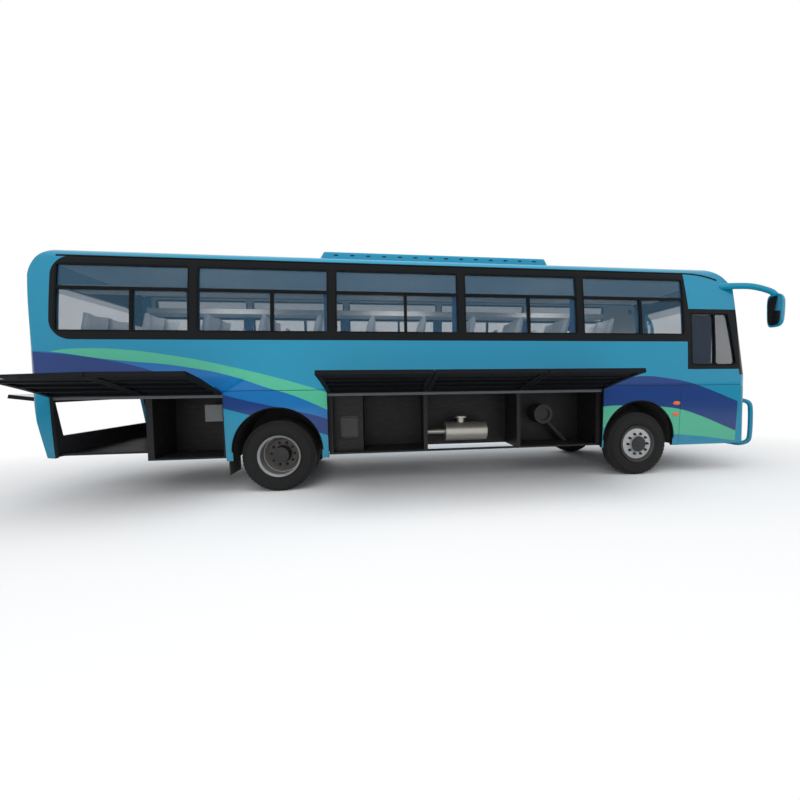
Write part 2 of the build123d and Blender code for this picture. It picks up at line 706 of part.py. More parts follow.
def front_axle():
    """A forged beam, dropped in the middle, with an upright boss for each kingpin."""
    beam = block((WHEELBASE - 55, WHEELBASE + 55), (-680, 680), FRONT_BEAM_Z)
    for side in (RIGHT, LEFT):
        y = span(side, 640, KINGPIN_Y)
        beam += block((WHEELBASE - 45, WHEELBASE + 45), y, (AXLE_Z - 50, AXLE_Z + 50))
        beam += block((WHEELBASE - 55, WHEELBASE + 55), span(side, 620, 700), (FRONT_BEAM_Z[0], AXLE_Z + 50))
        y = side * KINGPIN_Y
        boss = rod((WHEELBASE, y, AXLE_Z - 60), (WHEELBASE, y, AXLE_Z + 60), 55)
        bore = rod((WHEELBASE, y, AXLE_Z - 70), (WHEELBASE, y, AXLE_Z + 70), KINGPIN_R + RUN_FIT)
        beam = (beam + boss) - bore
        beam += block((WHEELBASE - 90, WHEELBASE + 90), span(side, *RAIL_Y), (FRONT_BEAM_Z[1], SPRING_Z[0] - 40))
    return beam


SPINDLE_R = 42


def knuckle(side):
    """A fork on the kingpin with the wheel's spindle on its outer face."""
    x = (WHEELBASE - 55, WHEELBASE + 55)
    y = side * KINGPIN_Y
    web_y = (KINGPIN_Y + 65, KINGPIN_Y + 105)
    body = block(x, span(side, web_y[0], web_y[1]), (AXLE_Z - 110, AXLE_Z + 110))
    for lug in (-1, 1):
        z = (AXLE_Z + lug * KNUCKLE_LUG_Z, AXLE_Z + lug * 110)
        body += block(x, span(side, KINGPIN_Y - 50, web_y[0]), z)
    body += rod((WHEELBASE, y, AXLE_Z - 110), (WHEELBASE, y, AXLE_Z + 110), KINGPIN_R)
    spindle = [(WHEELBASE, side * web_y[1], AXLE_Z), (WHEELBASE, side * (FRONT_WHEEL_Y + 90), AXLE_Z)]
    return body + rod(spindle[0], spindle[1], SPINDLE_R)


def springs():
    """The four leaf springs."""
    packs = []
    for side in (RIGHT, LEFT):
        packs += leaf_spring(0, side, SPRING_Z[0]).solids()
        packs += leaf_spring(WHEELBASE, side, SPRING_Z[0] - 40).solids()
    return Compound(packs)


NODES["chassis_frame"] = frame()
NODES["engine"] = engine()
NODES["propshaft"] = rod(SHAFT_REAR, SHAFT_FRONT, SHAFT_R)
NODES["rear_axle"] = rear_axle()
NODES["front_axle"] = front_axle()
NODES["leaf_springs"] = springs()
NODES["knuckle_right"] = knuckle(RIGHT)
NODES["knuckle_left"] = knuckle(LEFT)


# Wheels: profiles of radius and outward distance, turned about the axle.
def turned(points):
    """A solid of revolution about Y from a closed profile of (radius, y)."""
    face = make_face(Polyline(*points, close=True))
    return revolve(face, Axis.Y)


def tyre():
    """One tyre with sloped shoulders, its beads between the rim's flanges."""
    half = TYRE_WIDTH / 2
    bead = FLANGE_Y - 1
    side = [(SEAT_R + RUN_FIT, bead), (TYRE_RADIUS - 95, half), (TYRE_RADIUS, half - 38)]
    return turned(side + [(r, -y) for r, y in side[::-1]])


def barrel(middle):
    """The outer points of one rim's barrel, from its inner flange to its outer one."""
    low = middle - FLANGE_Y
    high = middle + FLANGE_Y
    return [
        (RIM_RADIUS, low - FLANGE_T), (RIM_RADIUS, low), (SEAT_R, low),
        (SEAT_R, high), (RIM_RADIUS, high), (RIM_RADIUS, high + FLANGE_T),
    ]


FLANGE_Y = 106
FLANGE_T = 13
SEAT_R = RIM_RADIUS - 2
BARREL_IN_R = 270
FRONT_RIM = barrel(0) + [
    (BARREL_IN_R, 92), (140, 118), (120, 150), (0, 165), (0, 100), (SPINDLE_R + RUN_FIT, 100),
    (SPINDLE_R + RUN_FIT, -20), (90, -20), (110, 60), (BARREL_IN_R, 60), (BARREL_IN_R, -96),
]
TWIN_RIM = barrel(-TWIN_SPACING / 2) + barrel(TWIN_SPACING / 2) + [
    (BARREL_IN_R, 250), (BARREL_IN_R, 66), (215, 40), (128, 40), (115, 180), (0, 190), (0, 140),
    (REAR_SPINDLE_R + RUN_FIT, 140), (REAR_SPINDLE_R + RUN_FIT, -60), (100, -60), (128, 0), (BARREL_IN_R, 0),
    (BARREL_IN_R, -262),
]

TWIN_Y = (-TWIN_SPACING / 2, TWIN_SPACING / 2)
for label, side in (("left", LEFT), ("right", RIGHT)):
    front_at = Pos(WHEELBASE, side * FRONT_WHEEL_Y, AXLE_Z)
    rear_at = Pos(0, side * REAR_WHEEL_Y, AXLE_Z)
    front_rim = turned(FRONT_RIM)
    twin_rim = turned(TWIN_RIM)
    if side == RIGHT:
        front_rim = flipped(front_rim)
        twin_rim = flipped(twin_rim)
    NODES[f"front_rim_{label}"] = front_at * front_rim
    NODES[f"front_tyre_{label}"] = front_at * tyre()
    NODES[f"rear_rim_{label}"] = rear_at * twin_rim
    NODES[f"rear_tyres_{label}"] = Compound([rear_at * Pos(0, y, 0) * tyre() for y in TWIN_Y])


# Front fittings: bull bar, headlamps and mirrors.
BAR_X = FRONT_X + 110
BAR_Y = 860
BAR_Z = (400, 1180)
BAR_R = 32


def bull_bar():
    """A welded frame of round tube on two brackets, standing in front of the bumper."""
    hoop = pipe(
        [(BAR_X, -250, BAR_Z[0]), (BAR_X, -BAR_Y, BAR_Z[0]), (BAR_X, -BAR_Y, BAR_Z[1]),
         (BAR_X, BAR_Y, BAR_Z[1]), (BAR_X, BAR_Y, BAR_Z[0]), (BAR_X, 250, BAR_Z[0])],
        BAR_R, 110,
    )
    for z in (BAR_Z[0] + 250, BAR_Z[0] + 510):
        hoop += rod((BAR_X, -BAR_Y, z), (BAR_X, BAR_Y, z), BAR_R * 0.8)
    for y in (-420, 420):
        hoop += rod((BAR_X, y, BAR_Z[0]), (BAR_X, y, BAR_Z[1]), BAR_R * 0.8)
        hoop += block((FRONT_X - 20, BAR_X), (y - 20, y + 20), (620, 720)) - OUTER
    hoop += rod((BAR_X, -260, BAR_Z[0]), (BAR_X, 260, BAR_Z[0]), BAR_R * 0.8)
    return hoop


def headlamp(side):
    """A lamp unit that fills its opening, just under the skin."""
    return (body_form(8) - body_form(50)) & lamp_hole(side)


MIRROR_ROOT = (7060, 1120, 3090)
MIRROR_HEAD = (7985, 1490, 2620)
HEAD_SIZE = (110, 250, 440)
ARM_R = 24


def mirror_set(side):
    """A swan-neck arm from the roof corner, the head that hangs from it, and its glass."""
    x, y, z = MIRROR_HEAD
    top = z + HEAD_SIZE[2] / 2
    root = MIRROR_ROOT
    arm = pipe(
        [(root[0], side * root[1], root[2]), (root[0] + 330, side * (root[1] + 150), root[2] + 110),
         (x, side * y, root[2] + 60), (x, side * y, top - 10)],
        ARM_R, 90,
    )
    head = fillet(Box(*HEAD_SIZE).edges(), 40)
    glass = block((-HEAD_SIZE[0] / 2 - 1, 9 - HEAD_SIZE[0] / 2), (-95, 95), (-180, 180))
    head = Pos(x, side * y, z) * (head - glass)
    return (arm - OUTER) + head, Pos(x, side * y, z) * glass


NODES["bull_bar"] = bull_bar()
NODES["headlamps"] = Compound([s for side in (RIGHT, LEFT) for s in headlamp(side).solids()])
mirrors = [mirror_set(side) for side in (RIGHT, LEFT)]
NODES["mirrors"] = Compound([s for arm, glass in mirrors for s in arm.solids()])
NODES["mirror_glass"] = Compound([glass for arm, glass in mirrors])

# Tail lamps, let into the rear corners, and the pod on the roof.
TAIL_LAMP_Z = (900, 1300)
TAIL_LAMP_Y = (1030, 1180)
POD_X = (565, 4225)
POD_HALF = 880
POD_Z = (ROOF_Z - 60, ROOF_Z + 105)
POD_SLOPE = 90


def tail_lamp(side):
    """A tall lamp standing proud of the tail."""
    zone = block((-FAR, REAR_SEAM_X), span(side, *TAIL_LAMP_Y), TAIL_LAMP_Z)
    return (Pos(-18, 0, 0) * OUTER - OUTER) & zone


def roof_pod():
    """The air-conditioning pod, with sloped ends, seated on the roof's crown."""
    points = [
        (POD_X[0], POD_Z[0]), (POD_X[1], POD_Z[0]),
        (POD_X[1] - POD_SLOPE, POD_Z[1]), (POD_X[0] + POD_SLOPE, POD_Z[1]),
    ]
    pod = extrude(Plane.XZ * make_face(Polyline(*points, close=True)), POD_HALF, both=True)
    pod = fillet(pod.edges().filter_by(lambda e: e.center().Z > POD_Z[0] + 5), 35)
    return pod - OUTER


NODES["tail_lamps"] = Compound([s for side in (RIGHT, LEFT) for s in tail_lamp(side).solids()])
NODES["roof_pod"] = roof_pod()


# Things that show in the open bays: silencer and pipe, air cleaner and duct, junction box, mud flaps.
SILENCER_X = (2480, 3150)
SILENCER_AT = (-800, 760)
SILENCER_R = 150


def silencer():
    """A drum lying along the bay on two saddles, with a neck, an elbow and a tail pipe."""
    y, z = SILENCER_AT
    drum = rod((SILENCER_X[0], y, z), (SILENCER_X[1], y, z), SILENCER_R)
    drum += rod((SILENCER_X[0] + 260, y, z), (SILENCER_X[0] + 260, y, z + 230), 60)
    drum += rod((SILENCER_X[0] + 260, y, z + 215), (SILENCER_X[0] + 260, y, z + 240), 105)
    drum += rod((SILENCER_X[1] - 120, y, z), (SILENCER_X[1] - 120, -BAY_INNER_Y - SHEET, z), 50)
    drum += rod((2133 + SHEET / 2, y, z), (SILENCER_X[0], y, z), 40)
    return drum


def air_cleaner():
    """A round filter housing on the bay's back wall, with a slanting duct."""
    y = (-BAY_INNER_Y - SHEET, -820)
    can = rod((4150, y[0], 1000), (4150, y[1], 1000), 160)
    can -= rod((4150, y[1] + 40, 1000), (4150, y[1] - 1, 1000), 110)
    duct = rod((4150, -650, 1000), (4620, -650, BAY_FLOOR_Z[0]), 45)
    return can + (duct - block((4000, 5000), (-900, -400), (0, BAY_FLOOR_Z[1])))


def mud_flap(side):
    """A sheet of rubber that hangs behind the rear wheels, on the bay's post."""
    x = REAR_ARCH_X[0]
    return block((x, x + 12), span(side, 700, BAY_OUTER_Y - 10), (250, BAY_FLOOR_Z[1] + 200))


NODES["silencer"] = silencer()
NODES["air_cleaner"] = air_cleaner()
NODES["junction_box"] = block((-1150, -850), (-BAY_INNER_Y - SHEET, -760), (1000, 1250))
NODES["mud_flaps"] = Compound([mud_flap(side) for side in (RIGHT, LEFT)])


# Cabin: rows of double seats, the driver's place, racks over the seats and curtains at the pillars.
SEAT_ROWS = 10
SEAT_FIRST_X = -1750
SEAT_PITCH = 770
SEAT_Y = (270, 1075)
SEAT_PROFILE = [
    # along x, above the floor
    (0, 300), (60, 300), (60, 0), (330, 0), (330, 300), (420, 300), (440, 430), (90, 420),
    (-70, 1130), (-130, 1150), (-170, 1110), (-20, 420),
]
DRIVER_X = 6480
RACK_Z = (2870, 2960)
RACK_X = (-2700, 6150)
CURTAIN_Y = 1090
DASH_TOP = (7200, FRONT_X), (-1150, 500), (1480, 1620)


def seat(x, y):
    """A double seat: a bent profile carried across two places."""
    face = make_face(Polyline(*[(x + a, FLOOR_Z + h) for a, h in SEAT_PROFILE], close=True))
    return Pos(0, (y[0] + y[1]) / 2, 0) * extrude(Plane.XZ * face, abs(y[1] - y[0]) / 2, both=True)


def seats():
    """The rows on both sides of the aisle, the bench across the tail and the driver's seat."""
    rows = [seat(SEAT_FIRST_X - 760, (-SEAT_Y[1], SEAT_Y[1]))]
    for row in range(SEAT_ROWS):
        for side in (RIGHT, LEFT):
            rows.append(seat(SEAT_FIRST_X + row * SEAT_PITCH, span(side, *SEAT_Y)))
    rows.append(Pos(DRIVER_X, 0, CAB_FLOOR_Z - FLOOR_Z) * seat(0, (-1000, -500)))
    return Compound(rows)


def dashboard():
    """The dashboard under the screen."""
    dash = block(DASH_TOP[0], DASH_TOP[1], DASH_TOP[2]) & INNER
    dash += block((7430, FRONT_X), DASH_TOP[1], (LAMP_Z[1] + 20, DASH_TOP[2][0])) & INNER
    return dash


def steering_wheel():
    """A raked column with its wheel."""
    head = (7000, -750, 1700)
    column = rod((7390, -750, 1400), head, 30) - block(DASH_TOP[0], DASH_TOP[1], (1000, DASH_TOP[2][1]))
    tilt = Plane(origin=head, z_dir=(head[0] - 7390, 0, head[2] - 1400))
    ring = tilt * revolve(Plane.XZ * Pos(215, 0) * RegularPolygon(16, 6), Axis.Z)
    spoke = tilt * Box(40, 420, 20)
    return column + ring + spoke


def rack(side):
    """The luggage shelf over one side's seats."""
    shelf = block(RACK_X, span(side, 700, 1300), (RACK_Z[0], RACK_Z[0] + 35))
    shelf += block(RACK_X, span(side, 700, 730), RACK_Z)
    return shelf & INNER


def curtain(side, x):
    """A gathered curtain beside a pillar."""
    return block((x, x + 170), span(side, CURTAIN_Y, CURTAIN_Y + 12), (2240, RACK_Z[0]))


NODES["seats"] = seats()
NODES["dashboard"] = dashboard()
NODES["steering_wheel"] = steering_wheel()
NODES["luggage_racks"] = Compound([s for side in (RIGHT, LEFT) for s in rack(side).solids()])
NODES["curtains"] = Compound([curtain(side, x[1] - 80) for x in WINDOWS[:-1] for side in (RIGHT, LEFT)])

# The frame's origin is under the middle of the whole coach, flaps, lid and mirrors included.
boxes = [shape.bounding_box() for shape in NODES.values()]
CENTRE_X = (min(b.min.X for b in boxes) + max(b.max.X for b in boxes)) / 2
CENTRE_Y = (min(b.min.Y for b in boxes) + max(b.max.Y for b in boxes)) / 2

for name, shape in NODES.items():
    export_step(Pos(-CENTRE_X, -CENTRE_Y, 0) * shape, f"parts/{name}.step")
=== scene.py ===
"""A touring coach in turquoise paint, its right luggage flaps and its rear lid standing open."""

import math

import bmesh
import bpy
from mathutils import Matrix, Vector
from mathutils.bvhtree import BVHTree


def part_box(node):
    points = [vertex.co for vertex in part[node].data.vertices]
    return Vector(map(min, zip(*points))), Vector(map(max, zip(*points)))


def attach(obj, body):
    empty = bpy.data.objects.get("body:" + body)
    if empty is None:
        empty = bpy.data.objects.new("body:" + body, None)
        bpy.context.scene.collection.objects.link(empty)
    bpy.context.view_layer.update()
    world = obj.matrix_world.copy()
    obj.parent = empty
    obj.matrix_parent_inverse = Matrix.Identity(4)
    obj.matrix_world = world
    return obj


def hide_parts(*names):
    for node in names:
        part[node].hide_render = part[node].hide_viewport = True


# The coach is set out as its drawings are: from the ground under the middle of the rear axle,
# x forward, y to the left and z up, in metres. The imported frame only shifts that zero.
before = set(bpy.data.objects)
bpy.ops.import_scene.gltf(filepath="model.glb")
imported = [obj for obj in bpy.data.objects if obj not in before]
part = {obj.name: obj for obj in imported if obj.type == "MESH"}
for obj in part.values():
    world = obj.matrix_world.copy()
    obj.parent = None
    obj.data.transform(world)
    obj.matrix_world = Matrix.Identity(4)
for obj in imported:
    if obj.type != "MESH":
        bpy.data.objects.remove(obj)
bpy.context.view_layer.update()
tyre_low, tyre_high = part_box("rear_tyres_right")
ZERO = Vector(((tyre_low.x + tyre_high.x) / 2, (tyre_low.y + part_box("rear_tyres_left")[1].y) / 2, 0))
WHEELBASE = (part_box("front_tyre_right")[0].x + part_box("front_tyre_right")[1].x) / 2 - ZERO.x
RIGHT, LEFT = -1, 1
SIDES = (("right", RIGHT), ("left", LEFT))


def spot(x, y, z):
    """A point of the drawings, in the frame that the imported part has."""
    return ZERO + Vector((x, y, z))


# Chassis: two channel rails with cross-members, a beam axle in front, a driven axle behind and leaf
# springs. All of it is sprayed in one black coat that dust from the road dulls on the upper faces.
def tint(red, green, blue):
    """A colour as it is read from a swatch, 0 to 255, made linear for the shader."""
    share = [channel / 255 for channel in (red, green, blue)]
    return tuple(c / 12.92 if c <= 0.04045 else ((c + 0.055) / 1.055) ** 2.4 for c in share) + (1,)


def math_node(operation, swapped=False):
    """An operator of Value that adds one Math node, with its two numbers swapped for a reflected one."""
    return lambda self, other=0.0: self.reckon(operation, other, swapped)


class Value:
    """A number that runs through a finish, so that arithmetic on it adds Math nodes."""

    __add__ = __radd__ = math_node("ADD")
    __mul__ = __rmul__ = math_node("MULTIPLY")
    __sub__ = math_node("SUBTRACT")
    __rsub__ = math_node("SUBTRACT", swapped=True)
    __truediv__ = math_node("DIVIDE")
    __pow__ = math_node("POWER")
    __gt__ = math_node("GREATER_THAN")
    __lt__ = math_node("LESS_THAN")
    __or__ = math_node("MAXIMUM")
    __abs__ = math_node("ABSOLUTE")

    def __init__(self, finish, socket):
        self.finish = finish
        self.socket = socket

    def reckon(self, operation, other=0.0, swapped=False):
        first, second = (other, self) if swapped else (self, other)
        return self.finish.node("ShaderNodeMath", {"operation": operation}, {0: first, 1: second})


class Finish:
    """One material of the coach, or the light round it, built up node by node and closed with its shader."""

    def __init__(self, name, store=bpy.data.materials):
        self.material = store.new(name)
        self.material.use_nodes = True
        self.tree = self.material.node_tree
        self.tree.nodes.clear()
        self.place = self.node("ShaderNodeTexCoord", out="Object")

    def node(self, kind, settings=None, values=None, out=0):
        """Any node: its settings first, then the values or links of its sockets."""
        made = self.tree.nodes.new(kind)
        for key, setting in (settings or {}).items():
            if key == "curve":
                line = made.mapping.curves[0]
                line.points[0].location = setting[0]
                line.points[1].location = setting[-1]
                for along, height in setting[1:-1]:
                    line.points.new(along, height)
                made.mapping.update()
            else:
                setattr(made, key, setting)
        for key, value in (values or {}).items():
            if isinstance(value, Value):
                self.tree.links.new(value.socket, made.inputs[key])
            else:
                made.inputs[key].default_value = value
        return Value(self, made.outputs[out]) if made.outputs else None

    def axes(self):
        """The drawing's x, y and z at a point of the surface."""
        shift = {0: self.place, 1: tuple(ZERO)}
        point = self.node("ShaderNodeVectorMath", {"operation": "SUBTRACT"}, shift)
        split = self.node("ShaderNodeSeparateXYZ", None, {0: point})
        return [Value(self, output) for output in split.socket.node.outputs]

    def mix(self, share, under, over):
        """One colour laid over another by a share from 0 to 1."""
        return self.node("ShaderNodeMix", {"data_type": "RGBA"}, {0: share, 6: under, 7: over}, out=2)

    def noise(self, scale, detail=4.0, stretch=(1, 1, 1)):
        """Even mottling, stretched along the axes where it is asked."""
        point = self.node("ShaderNodeMapping", None, {"Vector": self.place, "Scale": stretch})
        return self.node("ShaderNodeTexNoise", None, {"Vector": point, "Scale": scale, "Detail": detail})

    def facing(self, outward):
        """How far a face looks outward, from -1 to 1, on the piece as it stands at rest."""
        normal = self.node("ShaderNodeTexCoord", out="Normal")
        return self.node("ShaderNodeVectorMath", {"operation": "DOT_PRODUCT"}, {0: normal, 1: outward}, out=1)

    def bump(self, height, strength, distance):
        """A relief that catches light, in metres."""
        values = {"Height": height, "Strength": strength, "Distance": distance}
        return self.node("ShaderNodeBump", None, values)

    def close(self, shade, roughness, relief=None, others=None):
        """Ends the finish in its shader, with the sockets that only this finish sets."""
        values = {"Base Color": shade, "Roughness": roughness, **(others or {})}
        if relief:
            values["Normal"] = relief
        shader = self.node("ShaderNodeBsdfPrincipled", None, values)
        self.node("ShaderNodeOutputMaterial", None, {"Surface": shader})
        return self.material


def dress(finish, *names):
    """Gives CAD pieces their finish."""
    for name in names:
        part[name].data.materials.clear()
        part[name].data.materials.append(finish)


UP = (0, 0, 1)
ROAD_DUST = tint(128, 120, 108)


def dusty_metal(name, colour, dust, roughness, metallic=0.0):
    """Sprayed or bare metal, with fine grain and dust on what faces up."""
    finish = Finish(name)
    mottle = finish.noise(9)
    relief = finish.bump(finish.noise(420, 2), 0.12, 0.001)
    share = (finish.facing(UP) * 0.5 + 0.2) * mottle * dust
    shade = finish.mix(share, colour, ROAD_DUST)
    return finish.close(shade, mottle * 0.25 + roughness, relief, {"Metallic": metallic})


chassis_black = dusty_metal("chassis_black", tint(26, 26, 28), 0.9, 0.42)
dress(chassis_black, "chassis_frame", "rear_axle", "front_axle", "leaf_springs", "propshaft")
dress(dusty_metal("cast_iron", tint(62, 60, 57), 0.7, 0.55, 0.4), "engine", "knuckle_right", "knuckle_left")


# Wheels: pressed steel discs on 22.5 inch rims in silver paint, ten nuts on a 335 mm circle and a
# black hub cap, under tyres with a ribbed tread and square shoulder lugs. Rear wheels are twins.
RIM_R = 0.3
RIM_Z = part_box("front_rim_right")[0].z + RIM_R
WHEELS = [
    # axle, CAD tyres, x, distance from the middle of each tyre and of the nut face
    ("front", "front_tyre", WHEELBASE, (1.070,), 1.070 + 0.1125),
    ("rear", "rear_tyres", 0.0, (1.060, 0.750), 0.905 + 0.040),
]


def hub_distance(x, z):
    """The distance from the nearer axle's line."""
    near = [((x - axle) ** 2 + (z - RIM_Z) ** 2) ** 0.5 for axle in (0.0, WHEELBASE)]
    return near[0].reckon("MINIMUM", near[1])


def rim_paint(name, disc, flange, cap_r, disc_r):
    """Paint on the disc and on the flange round it, bare black at the hub, and brake dust mottled all over.
    """
    finish = Finish(name)
    x, y, z = finish.axes()
    mottle = finish.noise(22, 5)
    hub = hub_distance(x, z)
    shade = finish.mix(hub > disc_r, disc, flange)
    shade = finish.mix(mottle * 0.4, shade, tint(84, 79, 72))
    shade = finish.mix(hub < cap_r, shade, tint(24, 24, 25))
    relief = finish.bump(finish.noise(260, 2), 0.08, 0.001)
    return finish.close(shade, mottle * 0.2 + 0.32, relief, {"Metallic": (hub > cap_r) * 0.55})


front_silver = rim_paint("front_wheel_silver", tint(182, 184, 186), tint(58, 58, 58), 0.124, 0.245)
rear_grey = rim_paint("rear_wheel_grey", tint(76, 74, 71), tint(158, 160, 160), 0.121, 0.262)
dress(front_silver, "front_rim_right", "front_rim_left")
dress(rear_grey, "rear_rim_right", "rear_rim_left")


def made(name, mesh, finish, body):
    """A finished piece: its mesh in place, one finish, and the body that carries it."""
    piece = bpy.data.objects.new(name, mesh)
    bpy.context.scene.collection.objects.link(piece)
    mesh.materials.clear()
    mesh.materials.append(finish)
    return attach(piece, body) if body else piece


def shaped(name, work, smooth=None):
    """Turns a working shape into a mesh, its normals outwards and its round faces smooth."""
    bmesh.ops.remove_doubles(work, verts=work.verts, dist=0.00002)
    bmesh.ops.recalc_face_normals(work, faces=work.faces)
    mesh = bpy.data.meshes.new(name)
    work.to_mesh(mesh)
    work.free()
    if smooth:
        mesh.shade_smooth()
        mesh.set_sharp_from_angle(angle=math.radians(smooth))
    return mesh


def bridge(work, rings, ends="open", loop=True):
    """Faces between each row of points and the next, the ends open, capped or joined to each other."""
    for ring, after in zip(rings, rings[1:] + rings[:1] if ends == "joined" else rings[1:]):
        for low in range(len(ring) if loop else len(ring) - 1):
            high = (low + 1) % len(ring)
            work.faces.new((ring[low], ring[high], after[high], after[low]))
    if ends == "capped":
        work.faces.new(rings[0])
        work.faces.new(rings[-1])


def lathe(work, profile, centre, steps):
    """Turns a closed profile of (radius, y) round an axle through the centre, along y."""
    rings = []
    for step in range(steps):
        turn = 2 * math.pi * step / steps
        ring = [centre + Vector((r * math.cos(turn), y, r * math.sin(turn))) for r, y in profile]
        rings.append([work.verts.new(point) for point in ring])
    bridge(work, rings, "joined")


def repeat_tree(name, kind):
    """A Geometry Nodes tree that repeats its own mesh on a circle or along a line."""
    tree = bpy.data.node_groups.new(name, "GeometryNodeTree")
    reach = "NodeSocketFloat" if kind == "Circle" else "NodeSocketVector"
    sockets = {"Mesh": "NodeSocketGeometry", "Count": "NodeSocketInt", "Reach": reach}
    sockets["Finish"] = "NodeSocketMaterial"
    for label, socket in sockets.items():
        tree.interface.new_socket(label, in_out="INPUT", socket_type=socket)
    tree.interface.new_socket("Mesh", in_out="OUTPUT", socket_type="NodeSocketGeometry")
    inward = tree.nodes.new("NodeGroupInput")
    points = tree.nodes.new(f"GeometryNodeMesh{kind}")
    spread = tree.nodes.new("GeometryNodeInstanceOnPoints")
    real = tree.nodes.new("GeometryNodeRealizeInstances")
    paint = tree.nodes.new("GeometryNodeSetMaterial")
    outward = tree.nodes.new("NodeGroupOutput")
    links = [
        (inward, "Count", points, "Vertices" if kind == "Circle" else "Count"),
        (inward, "Reach", points, "Radius" if kind == "Circle" else "Offset"),
        (inward, "Mesh", spread, "Instance"),
        (inward, "Finish", paint, "Material"),
        (points, 0, spread, "Points"),
        (spread, 0, real, 0),
        (real, 0, paint, 0),
        (paint, 0, outward, 0),
    ]
    if kind == "Circle":
        where = tree.nodes.new("GeometryNodeInputPosition")
        turn = tree.nodes.new("FunctionNodeAlignRotationToVector")
        turn.axis = "X"
        turn.pivot_axis = "Z"
        links += [(where, 0, turn, "Vector"), (turn, 0, spread, "Rotation")]
    for source, output, target, socket in links:
        tree.links.new(source.outputs[output], target.inputs[socket])
    return tree


round_tree = repeat_tree("repeat_on_a_circle", "Circle")
line_tree = repeat_tree("repeat_along_a_line", "Line")


def repeated(mesh, tree, count, reach, finish):
    """The mesh that a tree makes of one small mesh."""
    holder = bpy.data.objects.new("repeat_work", mesh)
    bpy.context.scene.collection.objects.link(holder)
    modifier = holder.modifiers.new("repeat", "NODES")
    modifier.node_group = tree
    sockets = {item.name: item.identifier for item in tree.interface.items_tree if item.in_out == "INPUT"}
    modifier[sockets["Count"]] = count
    modifier[sockets["Reach"]] = reach
    modifier[sockets["Finish"]] = finish
    held = holder.evaluated_get(bpy.context.evaluated_depsgraph_get())
    result = bpy.data.meshes.new_from_object(held)
    bpy.data.objects.remove(holder)
    return result


def joined(name, meshes, finish, body, smooth=None):
    """Several meshes that are already in place, as one piece."""
    work = bmesh.new()
    for mesh in meshes:
        work.from_mesh(mesh)
    return made(name, shaped(name, work, smooth), finish, body)


TREAD_R = 0.510


def tyre_rubber():
    """Black rubber: fine moulding rings and grain on the sidewall, grey scuffing on the tread."""
    finish = Finish("tyre_rubber")
    x, y, z = finish.axes()
    hub = hub_distance(x, z)
    rings = (hub * 420).reckon("SINE")
    worn = finish.noise(14, 5)
    shade = finish.mix((hub > TREAD_R - 0.012) * worn, tint(19, 19, 20), tint(60, 58, 56))
    shade = finish.mix((hub < TREAD_R - 0.020) * worn * 0.4, shade, tint(44, 43, 42))
    height = rings * (hub < TREAD_R - 0.040) * 0.35 + finish.noise(300, 2)
    relief = finish.bump(height, 0.25, 0.0015)
    return finish.close(shade, worn * 0.2 + 0.62, relief, {"Specular IOR Level": 0.25})


rubber = tyre_rubber()
nut_steel = dusty_metal("wheel_nut_steel", tint(44, 43, 42), 0.4, 0.35, 0.7)
SIDEWALL = [
    # radius, distance from the tyre's middle
    (0.299, 0.100), (0.304, 0.106), (0.318, 0.112), (0.336, 0.121), (0.341, 0.121), (0.345, 0.124),
    (0.372, 0.129), (0.410, 0.130), (0.440, 0.127), (0.445, 0.129), (0.449, 0.125), (0.472, 0.114),
    (0.490, 0.104), (0.501, 0.097), (0.506, 0.090), (0.509, 0.080), (TREAD_R, 0.060),
]
GROOVES = (0.052, 0.018, -0.018, -0.052)
GROOVE_DEPTH, GROOVE_TOP, GROOVE_FOOT = 0.013, 0.006, 0.004


def tyre_profile():
    """One sidewall, the grooved tread, and the other sidewall back to the bead."""
    tread = []
    for middle in GROOVES:
        tread += [(TREAD_R, middle + GROOVE_TOP), (TREAD_R - GROOVE_DEPTH, middle + GROOVE_FOOT)]
        tread += [(TREAD_R - GROOVE_DEPTH, middle - GROOVE_FOOT), (TREAD_R, middle - GROOVE_TOP)]
    return SIDEWALL + tread + [(r, -y) for r, y in SIDEWALL[::-1]]


def block_mesh(name, size, bevel=0.0, at=(0, 0, 0), turn=None):
    """A block with its edges eased, as pressed or moulded pieces have them."""
    work = bmesh.new()
    bmesh.ops.create_cube(work, size=1, matrix=Matrix.Diagonal((*size, 1)))
    if bevel:
        bmesh.ops.bevel(work, geom=work.edges[:], offset=bevel, segments=2, affect="EDGES", profile=0.6)
    matrix = Matrix.Translation(Vector(at)) @ (turn or Matrix.Identity(4))
    bmesh.ops.transform(work, matrix=matrix, verts=work.verts)
    return shaped(name, work)


LUGS, LUG_SIZE, LUG_Y, LUG_R = 54, (0.022, 0.030, 0.026), 0.083, TREAD_R - 0.0118
NUTS, NUT_CIRCLE_R, NUT_TAPER = 10, 0.1675, 0.93
NUT = [
    # radius, sides, foot and top of the washer, of the nut and of the stud's end
    (0.0225, 20, 0.0, 0.004),
    (0.0185, 6, 0.004, 0.026),
    (0.010, 12, 0.026, 0.042),
]


def nut_mesh():
    """A hexagon nut on a washer, with the stud's end standing out of it."""
    work = bmesh.new()
    for radius, sides, low, high in NUT:
        turned = bmesh.ops.create_cone(
            work, cap_ends=True, segments=sides, radius1=radius, radius2=radius * NUT_TAPER, depth=high - low
        )
        bmesh.ops.translate(work, verts=turned["verts"], vec=(0, 0, (low + high) / 2))
    return shaped("wheel_nut", work)


